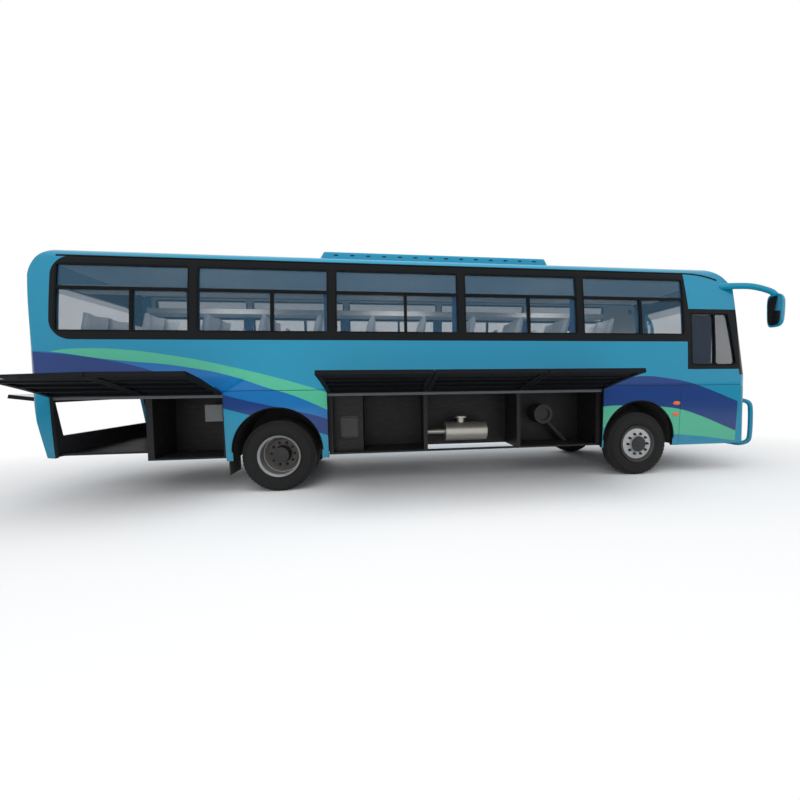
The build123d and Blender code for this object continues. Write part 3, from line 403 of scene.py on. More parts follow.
for axle, tyres, x, middles, nut_y in WHEELS:
    for label, side in SIDES:
        body = f"wheel_{axle}_{label}"
        work = bmesh.new()
        lugs = []
        for middle in middles:
            centre = spot(x, side * middle, RIM_Z)
            lathe(work, tyre_profile(), centre, 96)
            for edge in (-1, 1):
                lug = block_mesh("shoulder_lug", LUG_SIZE, 0.003, (0, 0, edge * LUG_Y))
                ring = repeated(lug, round_tree, LUGS, LUG_R, rubber)
                ring.transform(Matrix.Translation(centre) @ Matrix.Rotation(math.pi / 2, 4, "X"))
                lugs.append(ring)
        carcass = shaped("carcass", work, 32)
        tyre = joined(f"tyre_{axle}_{label}", [carcass, *lugs], rubber, body, 32)
        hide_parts(f"{tyres}_{label}")
        ring = repeated(nut_mesh(), round_tree, NUTS, NUT_CIRCLE_R, nut_steel)
        outward = Matrix.Rotation(-side * math.pi / 2, 4, "X")
        ring.transform(Matrix.Translation(spot(x, side * nut_y, RIM_Z)) @ outward)
        made(f"wheel_nuts_{axle}_{label}", ring, nut_steel, body)


# Luggage bays: folded sheet sprayed satin black, scuffed to grey where cases slide, with angle-iron
# posts. A square hatch is screwed to the cabinet at the end of the bay ahead of the rear wheels.
def bay_black():
    """Satin black on sheet steel, with long scuffs along the floor and a film of dust."""
    finish = Finish("bay_black")
    scuff = finish.noise(7, 6, (1, 1, 6)) ** 3
    dust = finish.noise(3, 5)
    floor = finish.facing(UP) > 0.6
    shade = finish.mix(scuff * 0.4 + floor * dust * 0.2, tint(19, 19, 21), tint(84, 80, 76))
    relief = finish.bump(finish.noise(5, 3), 0.2, 0.004)
    return finish.close(shade, dust * 0.25 + 0.36, relief, {"Specular IOR Level": 0.3})


bay_sheet = bay_black()
dress(bay_sheet, "bays_right", "bays_left", "rear_bays")
dress(dusty_metal("junction_grey", tint(122, 124, 126), 0.5, 0.42), "junction_box")
dress(dusty_metal("silencer_steel", tint(186, 182, 174), 0.35, 0.26, 0.85), "silencer")
dress(dusty_metal("filter_black", tint(34, 34, 35), 0.5, 0.5), "air_cleaner")


def flap_rubber():
    """Sheet rubber, ribbed and grey with road dirt."""
    finish = Finish("mud_flap_rubber")
    x, y, z = finish.axes()
    ribs = (y * 260).reckon("SINE")
    dirt = finish.noise(11, 5)
    shade = finish.mix(dirt * 0.6, tint(28, 28, 28), tint(92, 86, 78))
    return finish.close(shade, dirt * 0.2 + 0.6, finish.bump(ribs, 0.3, 0.002))


dress(flap_rubber(), "mud_flaps")


def rounded_frame(name, width, height, radius, bar, depth, at):
    """A rounded square of strip metal lying against a wall that faces -y."""
    work = bmesh.new()
    loops = []
    for inset, y in ((0, 0), (bar, 0), (bar, -depth), (0, -depth)):
        corner = max(radius - inset, 0.004)
        ring = []
        for quarter, (sx, sz) in enumerate(((1, 1), (-1, 1), (-1, -1), (1, -1))):
            for step in range(7):
                turn = math.pi / 2 * (quarter + step / 6)
                px = sx * (width / 2 - inset - corner) + corner * math.cos(turn)
                pz = sz * (height / 2 - inset - corner) + corner * math.sin(turn)
                ring.append(work.verts.new(at + Vector((px, y, pz))))
        loops.append(ring)
    bridge(work, loops, "joined")
    return shaped(name, work)


def skin_of(*names):
    """What a ray can strike: the surfaces of CAD pieces as they stand."""
    trees = []
    for name in names:
        mesh = part[name].data
        points = [vert.co.copy() for vert in mesh.vertices]
        trees.append(BVHTree.FromPolygons(points, [tuple(face.vertices) for face in mesh.polygons]))
    return trees


def strike(trees, start, way):
    """The first point that a ray meets on any of the skins, or None."""
    hits = [tree.ray_cast(start, way) for tree in trees]
    hits = [hit for hit in hits if hit[0] is not None]
    return min(hits, key=lambda hit: hit[3])[0] if hits else None


def from_beside(trees, side, x, z):
    """Where a level ray from one side of the coach meets the skins."""
    return strike(trees, spot(x, side * 3, z), Vector((0, -side, 0)))


HATCH_X, HATCH_Z = 1.0, 0.89
hatch_grey = dusty_metal("hatch_grey", tint(46, 46, 48), 0.3, 0.4)
hatch_at = from_beside(skin_of("bays_right"), RIGHT, HATCH_X, HATCH_Z)
hatch_parts = [
    rounded_frame("hatch_frame", 0.29, 0.32, 0.05, 0.014, 0.010, hatch_at),
    block_mesh("hatch_door", (0.25, 0.006, 0.28), 0.002, hatch_at + Vector((0, -0.004, 0))),
    block_mesh("hatch_latch", (0.04, 0.014, 0.024), 0.004, hatch_at + Vector((0.09, -0.012, 0))),
]
joined("bay_hatch", hatch_parts, hatch_grey, "coach")


# Wheel houses: bent sheet over each wheel, sprayed with black underseal, closed against the bays.
# The rear one spans both twin tyres, and the front one leaves room for the wheel at full lock.
ARCH_Z, HOUSE_R, HOUSE_OUTER = 0.595, 0.625, 1.185
HOUSE_FOOT, WALL_FOOT = 0.49 - ARCH_Z, 0.16
WHEEL_HOUSES = [
    # name, x, distance of the inner wall from the middle
    ("rear", 0.0, 0.50),
    ("front", WHEELBASE, 0.56),
]
FLANGES = (-0.675, 0.675, 4.965)
FLANGE_SIZE, FLANGE_Y, FLANGE_Z = (0.10, 0.004, 0.80), 1.135, 0.96


def underseal():
    """Thick black underseal with a pebbled skin and thrown-up dirt."""
    finish = Finish("underseal")
    pebble = finish.noise(120, 3)
    dirt = finish.noise(5, 5)
    shade = finish.mix(dirt * 0.4, tint(20, 20, 21), tint(70, 65, 58))
    return finish.close(shade, pebble * 0.2 + 0.6, finish.bump(pebble, 0.5, 0.003))


pebbled = underseal()
half_turn = [math.pi * step / 32 for step in range(33)]
bend = [(-HOUSE_R * math.cos(turn), HOUSE_R * math.sin(turn)) for turn in half_turn]
bend = [(-HOUSE_R, HOUSE_FOOT), *bend, (HOUSE_R, HOUSE_FOOT)]
for label, side in SIDES:
    for name, x, inner in WHEEL_HOUSES:
        work = bmesh.new()
        rows = []
        for y in (inner, HOUSE_OUTER):
            rows.append([work.verts.new(spot(x + a, side * y, ARCH_Z + b)) for a, b in bend])
        bridge(work, rows, loop=False)
        wall = [spot(x + a, side * inner, ARCH_Z + b) for a, b in bend if b > WALL_FOOT]
        work.faces.new([work.verts.new(point) for point in wall])
        made(f"wheel_house_{name}_{label}", shaped("wheel_house", work, 40), pebbled, "coach")
    strips = [block_mesh("flange", FLANGE_SIZE, 0.001, spot(x, side * FLANGE_Y, FLANGE_Z)) for x in FLANGES]
    joined(f"bay_flanges_{label}", strips, bay_sheet, "coach")


# Body: welded side walls, roof and end mouldings in gloss turquoise, with green and blue sweeps laid
# on in the same clear coat. The window band is black, and the cabin side has a pale lining.
TURQUOISE = tint(8, 130, 162)
AZURE = tint(8, 102, 164)
MARINE = tint(8, 52, 114)
SEA_GREEN = tint(74, 172, 138)
GLOSS_BLACK = tint(9, 11, 14)
LINING = tint(196, 190, 178)
SWEEPS = {
    # each edge of the livery along the side: x, z
    "tail_green_top": [
        (-3.2, 1.90), (-2.82, 2.001), (-2.65, 2.033), (-2.41, 2.047), (-2.16, 2.047), (-1.76, 2.014),
        (-1.41, 1.964), (-1.05, 1.902), (-0.67, 1.815), (-0.14, 1.683), (0.28, 1.562), (0.69, 1.424),
        (1.2, 1.21), (1.8, 0.86), (2.4, 0.40), (2.9, 0.0),
    ],
    "tail_green_foot": [
        (-3.2, 2.02), (-2.77, 2.001), (-2.24, 1.919), (-1.87, 1.876), (-1.41, 1.833), (-1.05, 1.775),
        (-0.76, 1.716), (-0.42, 1.613), (-0.14, 1.509), (0.19, 1.402), (0.67, 1.187), (1.2, 0.92),
        (1.8, 0.50), (2.3, 0.0),
    ],
    "tail_blue_top": [
        (-3.2, 2.02), (-2.95, 2.001), (-2.65, 1.974), (-2.22, 1.910), (-1.77, 1.807), (-1.2, 1.60),
        (-0.64, 1.392), (0.04, 1.214), (0.66, 1.053), (1.2, 0.80), (1.8, 0.36), (2.2, 0.0),
    ],
    "tail_blue_foot": [
        (-3.2, 1.72), (-2.65, 1.70), (-2.0, 1.60), (-1.2, 1.38), (-0.64, 1.20), (0.04, 1.00),
        (0.66, 0.814), (1.2, 0.52), (1.8, 0.0),
    ],
    "nose_blue_top": [
        (2.9, 0.0), (3.5, 0.55), (4.2, 1.05), (4.7, 1.34), (5.02, 1.475), (5.34, 1.578), (5.69, 1.611),
        (6.06, 1.575), (6.47, 1.500), (6.75, 1.412), (7.39, 1.171), (7.8, 1.02),
    ],
    "nose_green_top": [
        (3.3, 0.0), (3.9, 0.55), (4.5, 1.00), (4.95, 1.130), (5.50, 1.138), (6.05, 1.105), (6.32, 1.063),
        (6.63, 0.970), (7.29, 0.712), (7.8, 0.52),
    ],
    "nose_green_foot": [
        (3.7, 0.0), (4.3, 0.55), (4.65, 0.74), (4.94, 0.793), (5.60, 0.726), (6.18, 0.660), (6.77, 0.600),
        (7.26, 0.528), (7.8, 0.44),
    ],
}
CURVE_X, CURVE_SPAN, CURVE_Z = -3.3, 11.2, 4
SWEEP_END = 7.37


def edge_of(finish, x, name):
    """The height of one livery edge at x, from a curve whose axes run from 0 to 1."""
    points = [((along - CURVE_X) / CURVE_SPAN, height / CURVE_Z) for along, height in SWEEPS[name]]
    points = [(0.0, points[0][1])] + points + [(1.0, points[-1][1])]
    values = {"Factor": 1.0, "Value": (x - CURVE_X) / CURVE_SPAN}
    return finish.node("ShaderNodeFloatCurve", {"curve": points}, values) * CURVE_Z


def livery(finish, x, z):
    """Turquoise with the tail sweep and the nose sweep laid over it."""
    edges = {name: edge_of(finish, x, name) for name in SWEEPS}
    stripes = [
        # colour, upper edge, lower edge
        (AZURE, "tail_green_foot", "tail_blue_top"),
        (MARINE, "tail_blue_top", "tail_blue_foot"),
        (SEA_GREEN, "tail_green_top", "tail_green_foot"),
        (MARINE, "nose_blue_top", "nose_green_top"),
        (SEA_GREEN, "nose_green_top", "nose_green_foot"),
    ]
    shade = TURQUOISE
    for colour, top, foot in stripes:
        stripe = (z < edges[top]) * (z > edges[foot]) * (x < SWEEP_END)
        shade = finish.mix(stripe, shade, colour)
    return shade


BAND_LOW, BAND_HIGH, BAND_TAIL, BAND_ROUND = 2.165, 3.288, -2.81, 0.26
BAND_NOSE, BAND_RAKE = 6.52, 0.1
CAB_X, CAB_END, CAB_LOW, CAB_HIGH = 6.43, 7.45, 1.715, 2.70


def window_band(x, z, cab):
    """Where the side is black: the long band with its round tail, and the driver's window."""
    middle, half = (BAND_LOW + BAND_HIGH) / 2, (BAND_HIGH - BAND_LOW) / 2
    beyond_x = ((BAND_TAIL + BAND_ROUND) - x) | 0.0
    beyond_z = (abs(z - middle) - (half - BAND_ROUND)) | 0.0
    tail_in = (beyond_x ** 2 + beyond_z ** 2) ** 0.5 < BAND_ROUND
    nose_in = (x + (z - BAND_LOW) * BAND_RAKE) < BAND_NOSE
    band = tail_in * nose_in * (z > BAND_LOW) * (z < BAND_HIGH)
    if not cab:
        return band
    return band | ((x > CAB_X) * (x < CAB_END) * (z > CAB_LOW) * (z < CAB_HIGH))


GLOSS, BAND_DULL = 0.6, 0.52
HALF_WIDTH, HINGE_Z, SEAM_TOP = 1.25, 1.459, 1.465
SKIN_EDGE, SEAM_HALF, DUST_Z = 0.022, 0.0035, 1.15
LINED, EDGED, PAINTED = -0.25, -0.5, 0.4
OPEN = math.radians(107)


def clear_coated(finish, shade, inner, roughness, gloss):
    """Closes a paint: clear coat outside, none inside, and the slow ripple of sheet metal."""
    relief = finish.bump(finish.noise(1.4, 2), 0.05, 0.02)
    others = {"Specular IOR Level": 0.12, "Coat Weight": (1.0 - inner) * gloss, "Coat Roughness": 0.03}
    return finish.close(shade, roughness, relief, others)


def body_paint(
    name, outward, sweeps=True, band=None, inside=LINING, pressed=False, hinge_y=None, turned=0.0, seams=()
):
    """Gloss paint outside under clear coat, dulled by dust near the ground, and the lining inside.

    A pressed panel has paint only on faces that look outward. One that has or meets a hinge line also has
    it along the edge of its outer skin, and a turned one carries the livery that it shows when shut.
    """
    finish = Finish(name)
    x, y, z = finish.axes()
    out = finish.facing(outward)
    inner = out < LINED
    if pressed:
        inner = 1.0 - (out > PAINTED)
    if hinge_y:
        depth = (hinge_y - y) * outward[1] + (HINGE_Z - z) * outward[2]
        inner = 1.0 - ((out > PAINTED) | ((out > EDGED) * (depth < SKIN_EDGE)))
    if turned:
        z = (y - hinge_y) * math.sin(turned) + (z - HINGE_Z) * math.cos(turned) + HINGE_Z
    shade = livery(finish, x, z) if sweeps else TURQUOISE
    for seam, line in seams:
        gap = abs((x if line == "x" else z) - seam) < SEAM_HALF
        shade = finish.mix(gap * (z < SEAM_TOP), shade, tint(14, 22, 30))
    gloss = GLOSS
    if band:
        black = window_band(x, z, band == "cab")
        shade = finish.mix(black, shade, GLOSS_BLACK)
        gloss = GLOSS - black * BAND_DULL
    haze = finish.noise(2.2, 5)
    low = (DUST_Z - z) | 0.0
    shade = finish.mix(low * haze * 0.28, shade, tint(126, 120, 108))
    shade = finish.mix(inner, shade, inside)
    return clear_coated(finish, shade, inner, inner * 0.4 + low * 0.18 + haze * 0.06 + 0.14, gloss)


ARCH_SEAMS = ((1.457, "z"), (6.315, "x"))
dress(body_paint("side_paint_right", (0, RIGHT, 0), band="cab"), "side_wall_right")
dress(body_paint("side_paint_left", (0, LEFT, 0), band="plain"), "side_wall_left")
for label, side in SIDES:
    outward, hinge_y = (0, side, 0), side * HALF_WIDTH
    arch_paint = body_paint(
        f"arch_paint_{label}", outward, inside=tint(18, 18, 20), hinge_y=hinge_y, seams=ARCH_SEAMS
    )
    dress(arch_paint, f"side_panels_{label}")
dress(body_paint("roof_paint", UP, sweeps=False, band="plain", inside=tint(222, 220, 212)), "roof")
dress(body_paint("rear_paint", (-1, 0, 0), inside=tint(60, 60, 62)), "rear_panel")
plain_paint = body_paint("fitting_paint", UP, sweeps=False, inside=TURQUOISE)
dress(plain_paint, "roof_pod", "bull_bar", "mirrors")


def front_paint():
    """The nose in turquoise, black round the screen and dark at the foot of the bumper."""
    finish = Finish("front_paint")
    x, y, z = finish.axes()
    ahead = finish.facing((1, 0, 0))
    inner = ahead < LINED
    side = abs(y)
    round_screen = (z > 1.60) * (z < 3.06) * (side < 1.16) * (ahead > 0.5)
    black = round_screen | ((z > 1.62) * (z < CAB_HIGH))
    shade = finish.mix(black, TURQUOISE, GLOSS_BLACK)
    shade = finish.mix((z < 0.62) * (side < 0.95), shade, tint(30, 31, 33))
    shade = finish.mix(inner, shade, tint(64, 64, 66))
    roughness = inner * 0.5 + finish.noise(2.2, 5) * 0.06 + 0.16
    return clear_coated(finish, shade, inner, roughness, GLOSS - black * BAND_DULL)


dress(front_paint(), "front_panel", "front_bumper")


# Glazing: tinted safety glass in black rubber, two sliding panes below and a fixed one above in each
# bay, a laminated windscreen with a black printed edge, and a rear window of the same kind.
TRANSOM_Z = 2.87


def tinted_glass(name, colour, cover, cab):
    """Glass that lets the cabin show through, a little dusty, darker above the transom and at the cab."""
    finish = Finish(name)
    x, y, z = finish.axes()
    film = finish.noise(1.7, 5)
    dark = z > TRANSOM_Z
    if cab:
        colour = finish.mix(x > CAB_X, colour, tint(14, 34, 46))
        dark = dark | (x > CAB_X)
    return finish.close(colour, film * 0.05 + 0.02, None, {
        "Alpha": film * 0.08 + dark * 0.2 + cover,
        "IOR": 1.52,
        "Specular IOR Level": 0.3,
        "Coat Weight": 0.3,
        "Coat Roughness": 0.02,
    })


def seal_rubber():
    """Moulded black rubber or plastic with a fine grain."""
    finish = Finish("window_rubber")
    relief = finish.bump(finish.noise(650, 2), 0.15, 0.001)
    wear = finish.noise(8, 4)
    shade = finish.mix(wear * 0.15, tint(9, 10, 12), tint(40, 40, 40))
    return finish.close(shade, wear * 0.2 + 0.22, relief, {"Specular IOR Level": 0.08})


seal_black = seal_rubber()
dress(tinted_glass("side_glass_tint", tint(44, 88, 114), 0.23, True), "side_glass", "door_glass")
dress(tinted_glass("screen_glass", tint(50, 78, 90), 0.18, False), "screens")
dress(seal_black, "window_frames")


# Flaps, boot lid and door: double-skinned panels of the same shell. The flaps carry the livery outside
# and black spray inside, with two bright latches at each free edge, and the door is lined in pale trim.
FLAP_NAMES = ("rear_end", "rear", "mid_rear", "mid", "mid_front")
INNER_BLACK = tint(18, 20, 23)
LATCH = [
    # name, size, easing of the edges, metres below the latch's middle, depth from the outer skin
    ("latch", (0.055, 0.020, 0.05), 0.004, 0.0, 0.062),
    ("latch_bolt", (0.018, 0.014, 0.05), 0.003, 0.015, 0.066),
]
LATCH_INSET, LATCH_RISE, LOWEST_FOOT = 0.16, 0.045, 0.46
open_out = (0, math.sin(OPEN - math.pi / 2), math.cos(OPEN - math.pi / 2))
open_paint = body_paint("flap_paint_open", open_out, inside=INNER_BLACK, hinge_y=-HALF_WIDTH, turned=OPEN)
shut_paint = body_paint("flap_paint_shut", (0, LEFT, 0), inside=INNER_BLACK, hinge_y=HALF_WIDTH)
for name in FLAP_NAMES:
    dress(open_paint, f"flap_right_{name}")
    dress(shut_paint, f"flap_left_{name}")
dress(body_paint("lid_paint", (0.2, 0, 1), sweeps=False, inside=INNER_BLACK, pressed=True), "rear_lid")
dress(body_paint("door_paint", (0, LEFT, 0)), "passenger_door")
latch_steel = dusty_metal("latch_zinc", tint(196, 196, 192), 0.3, 0.3, 0.8)


def on_flap(side, along, depth):
    """A point on a flap: metres down from its hinge and in from its outer skin, as it stands at rest."""
    if side == LEFT:
        return HALF_WIDTH - depth, HINGE_Z - along
    sine, cosine = math.sin(OPEN), math.cos(OPEN)
    return -HALF_WIDTH - along * sine + depth * cosine, HINGE_Z - along * cosine - depth * sine


for label, side in SIDES:
    turn = Matrix.Rotation(-OPEN if side == RIGHT else 0.0, 4, "X")
    for name in FLAP_NAMES:
        low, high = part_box(f"flap_{label}_{name}")
        closed = skin_of(f"flap_left_{name}")
        pieces = []
        for end in (low.x + LATCH_INSET - ZERO.x, high.x - LATCH_INSET - ZERO.x):
            levels = [LOWEST_FOOT + 0.01 * step for step in range(50)]
            foot = next(z for z in levels if from_beside(closed, LEFT, end, z))
            for piece, size, ease, below, depth in LATCH:
                y, z = on_flap(side, HINGE_Z - foot - LATCH_RISE + below, depth)
                pieces.append(block_mesh(piece, size, ease, spot(end, y, z), turn))
        joined(f"latches_{label}_{name}", pieces, latch_steel, f"flap_{label}_{name}")


# Cabin: vinyl floor, grained dashboard, plastic-clad seat frames with foam cushions in clear film
# covers, parcel racks on both sides, and blue curtains gathered at the window pillars.
def vinyl_floor():
    """Speckled vinyl, worn pale along the aisle."""
    finish = Finish("floor_vinyl")
    speck = finish.noise(160, 3)
    x, y, z = finish.axes()
    worn = (abs(y) < 0.26) * finish.noise(4, 4)
    shade = finish.mix(speck, tint(70, 72, 76), tint(112, 114, 118))
    shade = finish.mix(worn * 0.4, shade, tint(150, 148, 142))
    return finish.close(shade, speck * 0.2 + 0.45, finish.bump(speck, 0.1, 0.001))


def grained(name, colour):
    """Moulded plastic with a leather-like grain."""
    finish = Finish(name)
    cells = finish.node("ShaderNodeTexVoronoi", None, {"Vector": finish.place, "Scale": 180.0})
    tone = finish.noise(5, 4)
    shade = finish.mix(tone * 0.35, colour, tint(120, 118, 114))
    return finish.close(shade, tone * 0.2 + 0.45, finish.bump(cells, 0.25, 0.001))


dress(vinyl_floor(), "floor")
dress(grained("dash_plastic", tint(64, 64, 66)), "dashboard", "steering_wheel")
dress(grained("rack_plastic", tint(206, 204, 198)), "luggage_racks")


def film_cover():
    """Cloth cushions seen under a clear film that is creased and shiny, with painted highlights on the crests
    of its creases.
    """
    finish = Finish("seat_cover_film")
    crease = finish.noise(26, 6, (1, 1, 2.2))
    cloth = finish.noise(90, 3)
    shade = finish.mix(cloth * 0.5, tint(196, 198, 200), tint(150, 156, 168))
    # The near-white on the crests of the creases is painted highlight: the film's shine laid into its colour.
    shade = finish.mix(crease ** 3, shade, tint(236, 236, 234))
    relief = finish.bump(crease, 0.7, 0.012)
    return finish.close(shade, crease * 0.35 + 0.15, relief, {"Coat Weight": 0.6})


def cushion(work, size, crown, matrix, channels=()):
    """A stuffed pad: crowned faces, sides that pull in between the corners, and sewn channels."""
    pad = bmesh.new()
    bmesh.ops.create_grid(pad, x_segments=10, y_segments=10, size=1)
    shells = []
    for face in (1, -1):
        rows = {}
        for vert in pad.verts:
            u, v = vert.co.x, vert.co.y
            swell = (1 - u ** 4) * (1 - v ** 4)
            sew = sum(math.exp(-(((v - channel) / 0.06) ** 2)) for channel in channels) * 0.12
            edge = max(abs(u), abs(v))
            lift = (0.55 + 0.45 * math.sqrt(max(0.0, 1 - edge ** 6))) + crown * swell - sew * swell
            px = u * (1 - 0.05 * (1 - v * v)) * size[0] / 2
            py = v * (1 - 0.05 * (1 - u * u)) * size[1] / 2
            rows[vert.index] = work.verts.new(matrix @ Vector((px, py, face * lift * size[2] / 2)))
        for quad in pad.faces:
            corners = [rows[vert.index] for vert in quad.verts]
            work.faces.new(corners if face > 0 else corners[::-1])
        shells.append(rows)
    for edge in pad.edges:
        if edge.is_boundary:
            first, second = (vert.index for vert in edge.verts)
            work.faces.new((shells[0][first], shells[0][second], shells[1][second], shells[1][first]))
    pad.free()


DECK_Z, CAB_DECK_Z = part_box("floor")[1].z, 1.0
ROWS, ROW_PITCH, FIRST_ROW_X, BENCH_X, PAIR_Y = 10, 0.77, -1.75, -2.51, 0.6725
LEAN = Matrix.Rotation(math.radians(-77), 4, "Y")
squabs = bmesh.new()
backs = bmesh.new()


def seat_place(at, long, tall, width, squab_thick, back_thick):
    """One place above a point of the floor: a squab with one sewn channel and a leaning back with two."""
    squab_at = Matrix.Translation(at + Vector((0.235, 0, 0.375)))
    back_at = Matrix.Translation(at + Vector((-0.04, 0, 0.775))) @ LEAN
    cushion(squabs, (long, width, squab_thick), 0.22, squab_at, (0.0,))
    cushion(backs, (tall, width, back_thick), 0.25, back_at, (-0.45, 0.45))


seats = [(BENCH_X, 0.0, 5, 0.43)]
for row in range(ROWS):
    for side in (RIGHT, LEFT):
        seats.append((FIRST_ROW_X + row * ROW_PITCH, side * PAIR_Y, 2, 0.4))
frames = []
for x, y, places, width in seats:
    for place in range(places):
        across = y + (place - (places - 1) / 2) * width
        seat_place(spot(x, across, DECK_Z), 0.40, 0.72, width - 0.015, 0.105, 0.10)
    span = width * places
    for edge in (-1, 1):
        leg = spot(x + 0.2, y + edge * span * 0.3, DECK_Z + 0.161)
        frames.append(block_mesh("seat_leg", (0.30, 0.03, 0.32), 0.006, leg))
        arm = spot(x + 0.17, y + edge * (span / 2 - 0.012), DECK_Z + 0.60)
        frames.append(block_mesh("seat_arm", (0.30, 0.024, 0.035), 0.01, arm))
driver_at = spot(6.48, -0.75, CAB_DECK_Z)
seat_place(driver_at, 0.44, 0.74, 0.48, 0.11, 0.11)
frames.append(block_mesh("driver_post", (0.30, 0.34, 0.31), 0.02, driver_at + Vector((0.2, 0, 0.156))))
film = film_cover()
seat_squabs = made("seat_squabs", shaped("seat_squabs", squabs, 60), film, "coach")
seat_backs = made("seat_backs", shaped("seat_backs", backs, 60), film, "coach")
joined("seat_frames", frames, grained("seat_frame_plastic", tint(70, 72, 76)), "coach")
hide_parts("seats")


def curtain_cloth():
    """Plain-woven blue cloth."""
    finish = Finish("curtain_cloth")
    x, y, z = finish.axes()
    weave = (x * 2600).reckon("SINE") * (z * 2600).reckon("SINE")
    fade = finish.noise(3, 3)
    shade = finish.mix(fade * 0.6, tint(24, 62, 120), tint(38, 92, 160))
    relief = finish.bump(weave, 0.2, 0.0008)
    return finish.close(shade, 0.85, relief, {"Sheen Weight": 0.4})


blue_cloth = curtain_cloth()
PILLARS = (-1.105, 0.747, 2.641, 4.538)
CURTAIN_Y, PLEAT_DEPTH, PLEAT_SWAY, TOP_DRAW = 1.096, 0.016, 0.006, 0.25
CURTAINS = [(x - 0.08, side, 2.245, 2.866, 0.17, 5) for x in PILLARS for side in (RIGHT, LEFT)]
CURTAINS.append((6.56, RIGHT, 1.80, 2.62, 0.43, 11))
for number, (x, side, foot, top, width, pleats) in enumerate(CURTAINS):
    columns = pleats * 10
    path = []
    for step in range(columns + 1):
        share = step / columns
        swing = math.sin(2 * math.pi * pleats * share)
        path.append((x + width * share + PLEAT_SWAY * swing, side * (CURTAIN_Y + PLEAT_DEPTH * swing)))
    work = bmesh.new()
    rows = []
    for level in range(7):
        z = foot + (top - foot) * level / 6
        spread = 1 - TOP_DRAW * level / 6
        line = [spot(px, side * CURTAIN_Y + (py - side * CURTAIN_Y) * spread, z) for px, py in path]
        rows.append([work.verts.new(point) for point in line])
    bridge(work, rows, loop=False)
    cloth = made(f"curtain_{number}", shaped(f"curtain_{number}", work, 80), blue_cloth, "coach")
    if number == 0:
        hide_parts("curtains")


# Lamps, mirrors and trim: clear headlamps with chromed bowls, red tail lamps, amber markers, mirrors on
# moulded arms, the bull bar's outer hoops, a roof gutter, wheel-arch lips, wipers and the louvres of the
# cooling unit on the roof.
def lens(name, colour, flutes, alpha):
    """A moulded lens with fine vertical flutes."""
    finish = Finish(name)
    x, y, z = finish.axes()
    wave = (y * flutes).reckon("SINE") + (z * flutes * 0.5).reckon("SINE") * 0.4
    tone = finish.noise(12, 3)
    brighter = tuple(channel * 1.3 for channel in colour[:3]) + (1,)
    shade = finish.mix(tone * 0.25, colour, brighter)
    relief = finish.bump(wave, 0.3, 0.002)
    return finish.close(shade, tone * 0.08 + 0.05, relief, {"Alpha": alpha, "Coat Weight": 0.4})


amber_lens = lens("marker_amber", tint(214, 92, 22), 520.0, 1.0)
dress(lens("headlamp_lens", tint(206, 212, 216), 420.0, 0.55), "headlamps")
dress(lens("tail_lamp_red", tint(150, 10, 14), 380.0, 1.0), "tail_lamps")


def silvered():
    """Mirror glass, barely dusty."""
    finish = Finish("mirror_silver")
    film = finish.noise(14, 4)
    return finish.close(tint(214, 218, 220), film * 0.08 + 0.02, None, {"Metallic": 1.0})


BEAD = [(-0.5, 0.0), (-0.38, 0.7), (0.0, 1.0), (0.38, 0.7), (0.5, 0.0), (0.0, -0.35)]


def bead(points, normal, width, height):
    """A half-round bead along points on a surface, leaving out those that no ray met."""
    points = [point for point in points if point]
    work = bmesh.new()
    rings = []
    for step, point in enumerate(points):
        ahead = points[min(step + 1, len(points) - 1)] - points[max(step - 1, 0)]
        across = normal.cross(ahead.normalized()).normalized()
        rings.append([work.verts.new(point + across * a * width + normal * b * height) for a, b in BEAD])
    bridge(work, rings, "capped")
    return shaped("bead", work, 50)


GUTTER_X, GUTTER_SPAN, GUTTER_Z = -2.75, 7.02 + 2.75, 3.286
DROOP_X, DROOP = 6.45, 0.30
LIP_R = 0.617
MARKERS = [
    # x, z, half height
    (6.245, 1.165, 0.048 / 1.4),
    (6.240, 0.985, 0.040 / 1.4),
]
